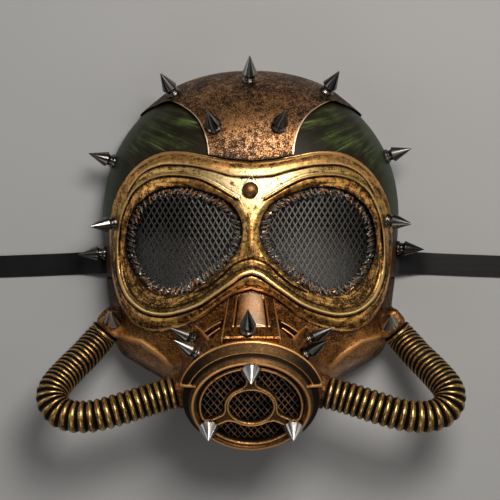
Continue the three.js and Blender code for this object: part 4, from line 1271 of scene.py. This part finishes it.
# %% Filter housing
HOUSING = [(28.5, -7.7), (40.7, -7.7), (40.7, -6.4), (37.4, -4.4), (36.4, -1.4), (35, 0), (33.4, 0),
           (32.4, -1.2), (31.5, -1.6), (31.5, -5), (28.5, -5)]
COLLAR = [(41.4, -7.7), (41.4, -11.6), (43.0, -11.2), (43.2, -9.9), (42.5, -9.3), (42.0, -8.0),
          (40.2, -5.5), (39.2, -4.4), (38.5, -4.6), (38.2, -7.7)]
RING_SIDES, COLLAR_STEPS = 128, 90
FOOT_Y = -79.5
LEDGE_SEAT = [(35.0, -0.4), (36.4, -1.4), (37.4, -4.0), (40.7, -6.2), (43.2, -9.4)]

ring_points, ring_faces = turned(rounded(HOUSING, 0.6), RING_SIDES)
ring_points = on_filter(*ring_points.T)
collar_line = rounded(COLLAR, 0.5)


def foot_up(out):
    """How far up the ring's face the level foot of the collar lies at a depth."""
    return (FOOT_Y - FILTER_Y - out * RING_OUT[1]) / RING_UP[1]


collar_from = np.arcsin(foot_up(collar_line[:, 1]) / collar_line[:, 0])
collar_turn = collar_from + (np.pi - 2 * collar_from) * np.linspace(0, 1, COLLAR_STEPS)[:, None]
collar_far, collar_out = collar_line.T
collar_grid = on_filter(collar_far * np.cos(collar_turn), collar_far * np.sin(collar_turn), collar_out)
collar_faces = capped_faces(COLLAR_STEPS, len(collar_line))
ledge_turn = np.linspace(0, np.pi, 9)[None, :]
ledge_far = np.linspace(36.2, 42.9, 16)[:, None]
ledge_seat = np.interp(ledge_far, *np.array(LEDGE_SEAT).T)
ledge_up = foot_up(ledge_seat) - 0.3 + 0.9 * np.cos(ledge_turn)
ledge_x = np.sqrt(ledge_far ** 2 - foot_up(ledge_seat) ** 2)
ledges = []
for side in (-1, 1):
    crown_of_ledge = on_filter(side * ledge_x, ledge_up, ledge_seat + 0.2 + 0.9 * np.sin(ledge_turn))
    foot_of_ledge = on_filter(side * ledge_x, ledge_up, ledge_seat - 1.6 + 0 * ledge_turn)
    ledges.append(slab(crown_of_ledge, foot_of_ledge))
housing_shape = mesh_object("filter_housing_ring", *joined(
    (ring_points, ring_faces), (collar_grid.reshape(-1, 3), collar_faces), *ledges))


def housing_marks(points):
    x, up, out = to_filter(*points.T)
    far = np.hypot(x, up)
    front_edge = dip(far - 34.6, 0.9) * (out > -0.9)
    seat = np.interp(far, *np.array(LEDGE_SEAT).T)
    bare = 1.1 * dip(far - 43.1, 0.45) + 0.75 * dip(far - 39.0, 0.45) * (out > -5.2) + front_edge
    bare += dip(up - foot_up(seat), 1.4) * (far > 36.0) * (out > seat + 0.3)
    wash = dip(far - 37.2, 1.0) * (out < -2) + (far < 31.8) + 0.3 * (far > 35.4)
    # The outer collar is painted darker, most on its sides turned from the light, as shade; a faint painted
    # highlight lies over all, more on its top.
    wash += (far > 39.4) * (0.25 + 0.35 * (1 - soft_step(up / far, 0.6, 0.95)))
    glow = 0.08 + 0.06 * dip(x - 8, 20) * (up > 20)
    return {"bare": bare, "wash": wash - bare, "glow": glow}


settle(housing_shape, bronze, "filter_housing", housing_marks)

# %% Grille
GRILLE, GRILLE_BACK, HUB = 31.2, -3.6, 13.0
WINDOW_IN, WINDOW_OUT, SPOKE, CORNER = 15.9, 29.4, 3.2, 3.6
SPOKES = (90, 210, 330)
FINE = 0.42


def cut_corner(first, second, reach):
    """What two distances share, with its corners rounded."""
    both = np.hypot(np.maximum(first + reach, 0), np.maximum(second + reach, 0))
    return np.minimum(np.maximum(first, second), -reach) + both


grille_x = np.arange(-33, 33 + FINE, FINE, dtype=np.float32)[:, None]
grille_up = grille_x.T
far_out = np.hypot(grille_x, grille_up)
spoke_off = 99.0
for degrees in SPOKES:
    turn = math.radians(degrees)
    ahead = grille_x * math.cos(turn) + grille_up * math.sin(turn)
    aside = np.abs(grille_up * math.cos(turn) - grille_x * math.sin(turn))
    spoke_off = np.where(ahead > 0, np.minimum(spoke_off, aside), spoke_off)
windows = cut_corner(np.maximum(far_out - WINDOW_OUT, WINDOW_IN - far_out), SPOKE - spoke_off, CORNER)
holes = np.minimum(windows, far_out - HUB)
rim = dip(holes - 0.75, 0.6)
level = np.arange(GRILLE_BACK - 3 * FINE, 1.5, FINE, dtype=np.float32)
top = -0.75 + 0.7 * rim
grille_field = np.maximum(-holes, far_out - GRILLE)[:, :, None]
grille_field = np.maximum(grille_field, level - top[:, :, None])
grille_field = np.maximum(grille_field, GRILLE_BACK - level)
grille_points, grille_quads = skin_of(grille_field, FINE, (grille_x[0, 0], grille_x[0, 0], level[0]))
grille_shape = mesh_object("filter_grille_cast", on_filter(*grille_points.T), grille_quads)


def grille_marks(points):
    x, up, out = to_filter(*points.T)
    cell = np.clip(np.round((np.stack([x, up]) - grille_x[0, 0]) / FINE).astype(int), 0, len(grille_x) - 1)
    rim_here = rim[cell[0], cell[1]]
    bare = rim_here * soft_step(out, -1.3, -0.3)
    # The deep parts are painted dark as shade, and a faint painted highlight lies over all.
    wash = 1 - soft_step(out, -2.0, -0.9) + 0.3 * (1 - rim_here)
    return {"bare": bare, "wash": wash, "glow": 0.1 + 0 * x}


settle(grille_shape, bronze, "filter_grille", grille_marks, crease=60)

# %% [markdown]
# ## Diamond nets
# Eyes and filter are closed by expanded metal: a sheet slit and pulled into long diamonds whose strands
# tilt, so one slope catches the light and the other stays dark. The strands at the eyes are made deep
# and painted nearly black below, as shade, so that little of the pale floor shines up through them. The
# cut edge of the net is folded back, crumpled and curled into loops, with dabs of copper on it.


# %% Net finish
def wire_paint():
    paint = Finish("wire_net_steel")
    dab, tone = paint.mark("dab"), paint.mark("tone")
    cloud = paint.cloud(420.0, 3.0, 0.6)
    steel = paint.blend(tone, (0.012, 0.012, 0.012), (0.64, 0.57, 0.48))
    dabbed = (dab * 0.9 + (cloud - 0.5) * 1.4).step(0.45, 0.75)
    colour = paint.blend(dabbed, steel, (0.58, 0.31, 0.15))
    return paint.wear(colour=colour, rough=0.44 - tone * 0.2 + cloud * 0.15, metal=0.85)


wire = wire_paint()
print("steel for the nets")


# %% A sheet of diamonds
def net(cells_x, cells_y, pitch, strand, keep, lay, thick, tilt, lean=0.0):
    """Diamonds in staggered rows; keep(x, y) picks cells and lay(x, y) gives their height."""
    columns, rows = np.arange(-cells_x, cells_x + 1)[:, None], np.arange(-cells_y, cells_y + 1)
    middle_x = (columns * pitch[0] / 2 + 0 * rows).ravel()
    middle_y = ((rows + (np.abs(columns) % 2) / 2) * pitch[1]).ravel()
    chosen = keep(middle_x, middle_y)
    middle_x, middle_y = middle_x[chosen, None], middle_y[chosen, None]
    ways = np.array([(1, 0), (0, 1), (-1, 0), (0, -1)])
    shift = np.concatenate([ways * 0.5, ways * (0.5 - strand)]) * pitch
    x, y = middle_x + shift[:, 0], middle_y + shift[:, 1]
    z = lay(x, y) + np.array([0, 0, 0, 0, tilt, lean, -tilt, -lean])
    top = np.stack([x, y, z], -1)
    points = np.concatenate([top, top - (0, 0, thick)], 1).reshape(-1, 3)
    quads = []
    for here in range(4):
        after = (here + 1) % 4
        quads += [(here, after, 4 + after, 4 + here), (8 + after, 8 + here, 12 + here, 12 + after),
                  (4 + here, 4 + after, 12 + after, 12 + here), (after, here, 8 + here, 8 + after)]
    first_points = np.arange(len(x)) * 2 * len(shift)
    faces = first_points[:, None, None] + np.array(quads)
    return points, faces.reshape(-1, 4)


print("net cutter ready")

# %% Eye nets
NET_DROP = 1.1
dice = np.random.default_rng(7)
WAVES = [(dice.normal(size=2) * k, dice.uniform(0, 6.28)) for k in (0.25, 0.4, 0.6, 0.9, 1.3, 1.7)]


def ripple(x, y):
    """A fixed bumpy field between about -1 and 1."""
    return sum(np.sin(x * w[0] + y * w[1] + p) for w, p in WAVES) / 3


def net_height(x):
    """Height at which the net clears the inside of the wall above, at and below the eye."""
    places = (EYE[1], EYE[1] + eye_radius(OPENING, 90), EYE[1] - eye_radius(OPENING, 270))
    walls = [form_height(x, np.full_like(x, y), -WALL) for y in places]
    return np.minimum.reduce(walls) - NET_DROP


def off_opening(x, y):
    """How far inside the eye opening a place is, measured from the eye's centre."""
    degrees = np.degrees(np.arctan2(y, x)) % 360
    return eye_radius(OPENING, degrees) - np.hypot(x, y)


def eye_lay(x, y):
    near_border = soft_step(-off_opening(x, y), -7, -3)
    return net_height(x - EYE[0]) - 0.2 + 0.5 * ripple(x, y) * near_border


main_net = net(32, 13, (3.6, 6.2), 0.125, lambda x, y: off_opening(x, y) > -2.6, eye_lay,
               thick=3.4, tilt=0.1, lean=0.2)
print("each eye has", len(main_net[1]) // 16, "diamonds")


# %% Crumpled border of the eye nets
def folded(height, turn_degrees, low, high):
    """A strip of finer net, turned, buckled and lifted along the opening."""
    turn = math.radians(turn_degrees)
    level, steep = math.cos(turn), math.sin(turn)

    def keep(x, y):
        inside = off_opening(x * level - y * steep, x * steep + y * level)
        return (inside > low) & (inside < high + 1.6 * ripple(3 * x, 3 * y))

    points, faces = net(34, 22, (2.8, 4.2), 0.16, keep, lambda x, y: 0 * x, thick=0.4, tilt=0.45)
    x, y, z = points.T
    x, y = x * level - y * steep, x * steep + y * level
    x, y = x + 0.8 * ripple(y * 2, x), y + 0.8 * ripple(x * 2, y + 5)
    lift = height * dip(off_opening(x, y) - 2.5, 2.6) * (0.7 + 0.6 * ripple(x * 1.7, y * 1.7))
    z = net_height(x - EYE[0]) + np.clip(lift, 0, 4.5) + z
    return np.column_stack([x, y, z]), faces


WIRE_SIDES = 5


def curled(middle, size, turns, wire_radius, shift):
    """A cut strand of the net, curled into loops all along the opening."""
    count = turns * 10
    at = full_turn(count)
    uneven = ripple(at * 30 + shift, at * 11)
    loop = at * turns + 1.2 * uneven
    reach = size * (0.85 + 0.4 * ripple(at * 23, at * 41 + shift))
    away = eye_radius(OPENING, np.degrees(at)) - middle + 0.5 * uneven + reach * np.cos(loop)
    line = np.column_stack([away * np.cos(at), away * np.sin(at)])
    height = net_height(line[:, 0] - EYE[0]) + size * 0.9 + 0.9 * reach * np.sin(loop)
    line = np.column_stack([line, height])
    outward = np.column_stack([np.cos(loop) * np.cos(at), np.cos(loop) * np.sin(at), np.sin(loop)])
    third = unit(np.cross(np.roll(line, -1, 0) - np.roll(line, 1, 0), outward))
    points = swept(line, outward, third, wire_radius, WIRE_SIDES)
    return points, grid_faces(count + 1, WIRE_SIDES, wrap=True) % len(points)


eye_net = joined(main_net, folded(2.6, 35, -1.5, 4.2), folded(3.6, 75, -1.0, 3.2),
                 curled(2.4, 2.0, 59, 0.46, 0.0), curled(4.2, 1.5, 53, 0.36, 9.0))
eye_points = eye_net[0] + (-EYE[0], EYE[1], 0)


def net_marks(points):
    x, y, z = points.T
    border = 1 - soft_step(off_opening(EYE[0] - np.abs(x), y - EYE[1]), 4.5, 7.0)
    above = z - net_height(-np.abs(x))
    raised, top = soft_step(above, 0.4, 1.6), soft_step(above, -2.4, -0.9)
    # The strands are painted nearly black below their tops, as shade, and the raised loops of the border
    # lighter, as bare steel and as painted glints.
    return {"dab": border * raised * (0.48 + 0.5 * ripple(x * 1.3, y * 1.3)),
            "tone": 0.06 * top + 0.5 * border * raised}


for label, side in (("left", 1), ("right", -1)):
    eye_shape = mesh_object(f"eye_net_{label}", eye_points * (side, 1, 1), eye_net[1])
    settle(eye_shape, wire, f"eye_mesh_{label}", net_marks, crease=30)

# %% Filter net
filter_net_points, filter_net_faces = net(
    28, 14, (4.0, 6.4), 0.08, lambda x, y: np.hypot(x, y) < GRILLE - 2.6,
    lambda x, y: GRILLE_BACK - 0.55 + 0 * x, thick=0.35, tilt=0.25)
filter_shape = mesh_object("filter_net", on_filter(*filter_net_points.T), filter_net_faces)


def filter_marks(points):
    x, up, out = to_filter(*points.T)
    return {"dab": 0.8 + 0.35 * ripple(x * 0.6, up * 0.6), "tone": 0.22 + 0 * x}


settle(filter_shape, wire, "filter_mesh", filter_marks, crease=30)

# %% [markdown]
# ## Ribbed hoses
# Each hose is a springy ribbed tube. It leaves the cheek port level, rises towards the viewer, bends and
# runs nearly level into the muzzle. It is swept along one smooth route; its radius rises and falls once
# for each rib, and the ribs are pressed together before the bend and open out after it.


# %% Hose finish
def brass_paint():
    paint = Finish("hose_brass_rubbed")
    wash = paint.mark("wash")
    fine = paint.cloud(800.0, 3.0, 0.65)
    broad = paint.cloud(90.0, 3.0, 0.6)
    rubbed = (fine * 0.7 + broad * 0.6 - wash * 0.3).step(0.46, 0.78)
    colour = paint.blend(rubbed, (0.075, 0.036, 0.010), (0.42, 0.24, 0.062))
    crest_rub = (paint.mark("bare") * (fine + 0.4)).step(0.5, 1.0)
    colour = paint.blend(crest_rub * 0.8, colour, (0.76, 0.53, 0.22))
    colour = paint.blend(wash.step(0.25, 0.75), colour, (0.004, 0.0035, 0.003))
    rough = 0.32 + wash * 0.35 + (fine - 0.5) * 0.15
    return paint.wear(colour=colour, rough=rough, metal=0.85, normal=paint.bump(fine, 0.25, 0.0004))


brass = brass_paint()
print("brass for the hoses")

# %% Ribs along the hose
PORT_CREST, MUZZLE_CREST = 9.6, 10.1
RIBS, RIB_STEPS, HOSE_SIDES = 37, 12, 44
FINE_STEPS = 2000
# Place along the hose and distance from rib to rib there
RIB_SPACING = np.array([
    (0, 3.3), (8, 3.5), (33, 3.9), (54, 2.7), (64, 3.0), (73, 4.5), (90, 5.0), (115, 4.7),
    (132, 4.1), (147, 4.0),
])

fine_line, _ = smooth_line(HOSE_ROUTE, FINE_STEPS)
fine_place = np.linspace(0, hose_length, FINE_STEPS)
fine_phase = np.cumsum(1 / np.interp(fine_place, *RIB_SPACING.T))
fine_phase = (fine_phase - fine_phase[0]) / (fine_phase[-1] - fine_phase[0]) * RIBS
hose_count = RIBS * RIB_STEPS + 1
rib_phase = np.linspace(0, RIBS, hose_count)
share = np.interp(rib_phase, fine_phase, fine_place / hose_length)
hose_line = np.stack([np.interp(share * hose_length, fine_place, fine_line[:, k]) for k in range(3)], -1)
rib_rise = (0.5 - 0.5 * np.cos(2 * np.pi * rib_phase)) ** 0.5
groove = 0.34 * np.interp(share * hose_length, *RIB_SPACING.T)
hose_radius = PORT_CREST + (MUZZLE_CREST - PORT_CREST) * share - groove * (1 - rib_rise)
print("each hose has", RIBS, "ribs")

# %% The hoses
way = unit(np.gradient(hose_line, axis=0))
upright = np.zeros_like(way)
upright[0] = np.cross(way[0], (0, 0, 1))
for k in range(1, hose_count):
    upright[k] = unit(upright[k - 1] - way[k] * (upright[k - 1] @ way[k]))
hose_points = swept(hose_line, upright, np.cross(way, upright), hose_radius, HOSE_SIDES)
hose_faces = capped_faces(hose_count, HOSE_SIDES)


def hose_marks(points):
    spots = np.column_stack([np.abs(points[:, 0]), points[:, 1:]])
    lots = np.array_split(spots, len(spots) // 2000 + 1)
    near = np.concatenate([((lot[:, None] - hose_line) ** 2).sum(-1).argmin(1) for lot in lots])
    away = np.linalg.norm(spots - hose_line[near], axis=1)
    crest_here = PORT_CREST + (MUZZLE_CREST - PORT_CREST) * share[near]
    depth = (crest_here - away) / groove[near]
    # The grooves between the ribs are painted black, as a dark wash and as shade; more of each groove is
    # black where the ribs are pressed together.
    pressed = 1 - soft_step(share[near], 0.40, 0.56)
    return {"wash": soft_step(depth + 0.14 * pressed, 0.22, 0.6), "bare": 1 - soft_step(depth, 0.0, 0.1)}


for label, side in (("left", -1), ("right", 1)):
    hose_shape = mesh_object(f"hose_{label}_ribbed", hose_points * (side, 1, 1), hose_faces)
    settle(hose_shape, brass, f"hose_{label}", hose_marks, crease=75)
print("each hose is", round(hose_length, 1), "mm long")

# %% [markdown]
# ## Satin ribbons
# A black ribbon is glued inside each wall, leaves through its slot and lies on the floor. It is a
# single thin strip that comes down from the slot and lies flat. Its weave shows as fine lines along it.


# %% Satin finish
def satin_paint():
    paint = Finish("black_satin_weave")
    rows = paint.node("ShaderNodeTexWave", {"bands_direction": "Y"}, {
        "Vector": paint.place, "Scale": 420.0, "Distortion": 0.6, "Detail": 2.0})
    cloud = paint.cloud(45.0, 2.0)
    colour = paint.blend(rows * 0.6 + cloud * 0.4, (0.002, 0.002, 0.002), (0.007, 0.007, 0.0075))
    return paint.wear(colour=colour, rough=0.3 + cloud * 0.2, normal=paint.bump(rows, 0.15, 0.0002),
                      specular=0.12)


satin = satin_paint()
print("black satin woven")

# %% Ribbons
RIBBON_WIDTH, HALF_THICK, RIBBON_STEPS = 14.0, 0.25, 160
RIBBON_ROUTE = np.array([
    (85, -8, 25), (87.3, -8, 13), (88, -8, 9), (89.6, -8, 7.1), (95, -8, 6.6), (101, -8.1, 4.4),
    (108, -8.4, 1.7), (116, -8.9, 0.55), (140, -9.9, 0.5), (168, -10.9, 0.5),
])
ribbon_line, ribbon_length = smooth_line(RIBBON_ROUTE, RIBBON_STEPS)
ribbon_way = unit(np.gradient(ribbon_line, axis=0))
ribbon_up = np.column_stack([-ribbon_way[:, 2], np.zeros(RIBBON_STEPS), ribbon_way[:, 0]])
across = np.linspace(-1, 1, 15)
ribbon_grid = ribbon_line[:, None] + across[None, :, None] * (0, RIBBON_WIDTH / 2, 0)
lift = ribbon_up[:, None] * HALF_THICK
for label, side in (("left", -1), ("right", 1)):
    ribbon_shape = mesh_object(f"ribbon_{label}_satin", *slab(
        (ribbon_grid + lift) * (side, 1, 1), (ribbon_grid - lift) * (side, 1, 1)))
    settle(ribbon_shape, satin, f"ribbon_{label}")
print("each ribbon is", round(ribbon_length, 1), "mm long")

# %% [markdown]
# ## Spikes and the bridge rivet
# Screw spikes of polished nickel stand on the crown, the brow, the goggles and the cheeks, and plain
# cones on the hose ports and the filter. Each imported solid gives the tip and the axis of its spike; a
# smooth turned one is set on the same line. Dark and light stripes round it stand for the room that
# polished metal reflects. The rivet over the nose is a low dome, turned in the same way.

# %% Nickel finish
def nickel_paint():
    paint = Finish("nickel_polished")
    cloud = paint.cloud(260.0, 3.0)
    fine = paint.cloud(1500.0, 2.0)
    # Painted reflections: dark and light stripes round each spike, lighter on the cones than on the screw
    # spikes.
    reflection_place = paint.spot(paint.mark("lathe_x") * 2.4, paint.mark("lathe_y") * 2.4, cloud * 0.3)
    reflection_stripes = paint.cloud(1.0, 3.0, 0.6, reflection_place).step(0.40, 0.60)
    cone = paint.mark("cone")
    dark_reflection = paint.blend(cone, (0.04, 0.036, 0.032), (0.13, 0.125, 0.12))
    bright = paint.blend(cone, (0.27, 0.255, 0.235), (0.74, 0.72, 0.69))
    colour = paint.blend(reflection_stripes, dark_reflection, bright)
    colour = paint.blend(paint.mark("wash"), colour, (0.03, 0.03, 0.03))
    rough = 0.17 + reflection_stripes * 0.06 + cloud * 0.12 + fine * 0.04
    return paint.wear(colour=colour, rough=rough, metal=1.0)


nickel = nickel_paint()
print("nickel polished")

# %% Where a spike stands
SCREW = [(0, 0), (4.5, 0), (4.5, 1.5), (3.3, 2.4), (3.3, 4.2), (4.8, 5.2), (0.25, 17.0), (0, 17.2)]
CONE = [(0, 0), (5.8, 0), (5.8, 1.2), (0.3, 11.55), (0, 11.8)]
SPIKE_SIDES = 48
SHORTEST_SCREW = 14.0
PORT_LEAN = 0.3
# A way that no spike points along
ASLANT = (0.31, 0.95, 0.05)


def spots_of(node):
    """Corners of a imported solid."""
    spots = np.array([v.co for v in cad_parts[node].data.vertices]) * 1000 - (0, CENTRING, 0)
    return np.unique(np.round(spots, 3), axis=0)


def stand_of(node):
    """Tip, axis and height of a packed spike."""
    spots = spots_of(node)
    middle = spots.mean(0)
    tip = spots[np.linalg.norm(spots - middle, axis=1).argmax()]
    axis = unit(tip - middle)
    return tip, axis, float(((spots - tip) @ -axis).max())


def set_on(points, foot, axis):
    """Move a turned piece so that its own z axis runs along `axis` from `foot`."""
    beside = unit(np.cross(axis, ASLANT))
    return foot + points @ np.stack([beside, np.cross(axis, beside), axis])


def spike_marks(points, foot, axis, screw):
    up = (points - foot) @ axis
    beside = points - foot - up[:, None] * axis
    beside /= np.maximum(np.linalg.norm(beside, axis=1, keepdims=True), 1e-6)
    # The neck of a screw spike and the foot of a cone are painted dark, as shade.
    neck = dip(up - 3.3, 0.9) if screw else dip(up - 0.1, 0.4)
    return {"wash": neck * 0.75, "cone": np.full(len(points), 0.0 if screw else 1.0),
            "lathe_x": beside[:, 0] + foot[0] * 0.3, "lathe_y": beside[:, 1] + beside[:, 2] * 0.7}


print("spikes of", SCREW[-1][1], "and", CONE[-1][1], "mm")

# %% Spikes
for node in sorted(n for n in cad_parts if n.startswith("spike_")):
    tip, axis, height = stand_of(node)
    screw = height > SHORTEST_SCREW
    profile = SCREW if screw else CONE
    spike_points, spike_faces = turned(rounded(profile, 0.35, 4, ends=True), SPIKE_SIDES, whole=False)
    foot = tip - axis * profile[-1][1]
    # The cones on the ports lean a little towards the crown
    if "port" in node:
        axis = unit(axis + (0, PORT_LEAN, 0))
    spike_shape = mesh_object(node + "_turned", set_on(spike_points, foot, axis), spike_faces)
    settle(spike_shape, nickel, node, lambda p: spike_marks(p, foot, axis, screw), crease=50)

# %% The rivet
RIVET, RIVET_EDGE, RIVET_HEIGHT = 4.9, 0.5, 3.4
rivet_axis = unit(np.array([0, 0.07, 1.0]))
rivet_spots = spots_of("bridge_rivet")
middle = rivet_spots.mean(0)
rivet_foot = middle + rivet_axis * ((rivet_spots @ rivet_axis).min() - middle @ rivet_axis)
dome = [(0, 0), (RIVET, 0), (RIVET, RIVET_EDGE)]
for turn in np.linspace(0.15, 1.5, 14):
    dome.append((RIVET * math.cos(turn), RIVET_EDGE + (RIVET_HEIGHT - RIVET_EDGE) * math.sin(turn)))
dome.append((0, RIVET_HEIGHT))
rivet_points, rivet_faces = turned(dome, SPIKE_SIDES, whole=False)
rivet_shape = mesh_object("bridge_rivet_dome", set_on(rivet_points, rivet_foot, rivet_axis), rivet_faces)


def rivet_marks(points):
    up = (points - rivet_foot) @ rivet_axis
    # Painted shade round its foot and a faint painted highlight all over.
    return {"wash": 1 - soft_step(up, 0.2, 0.9), "bare": 0.35 * soft_step(up, 2.2, 3.4), "glow": 0.1 + 0 * up}


settle(rivet_shape, bronze, "bridge_rivet", rivet_marks)
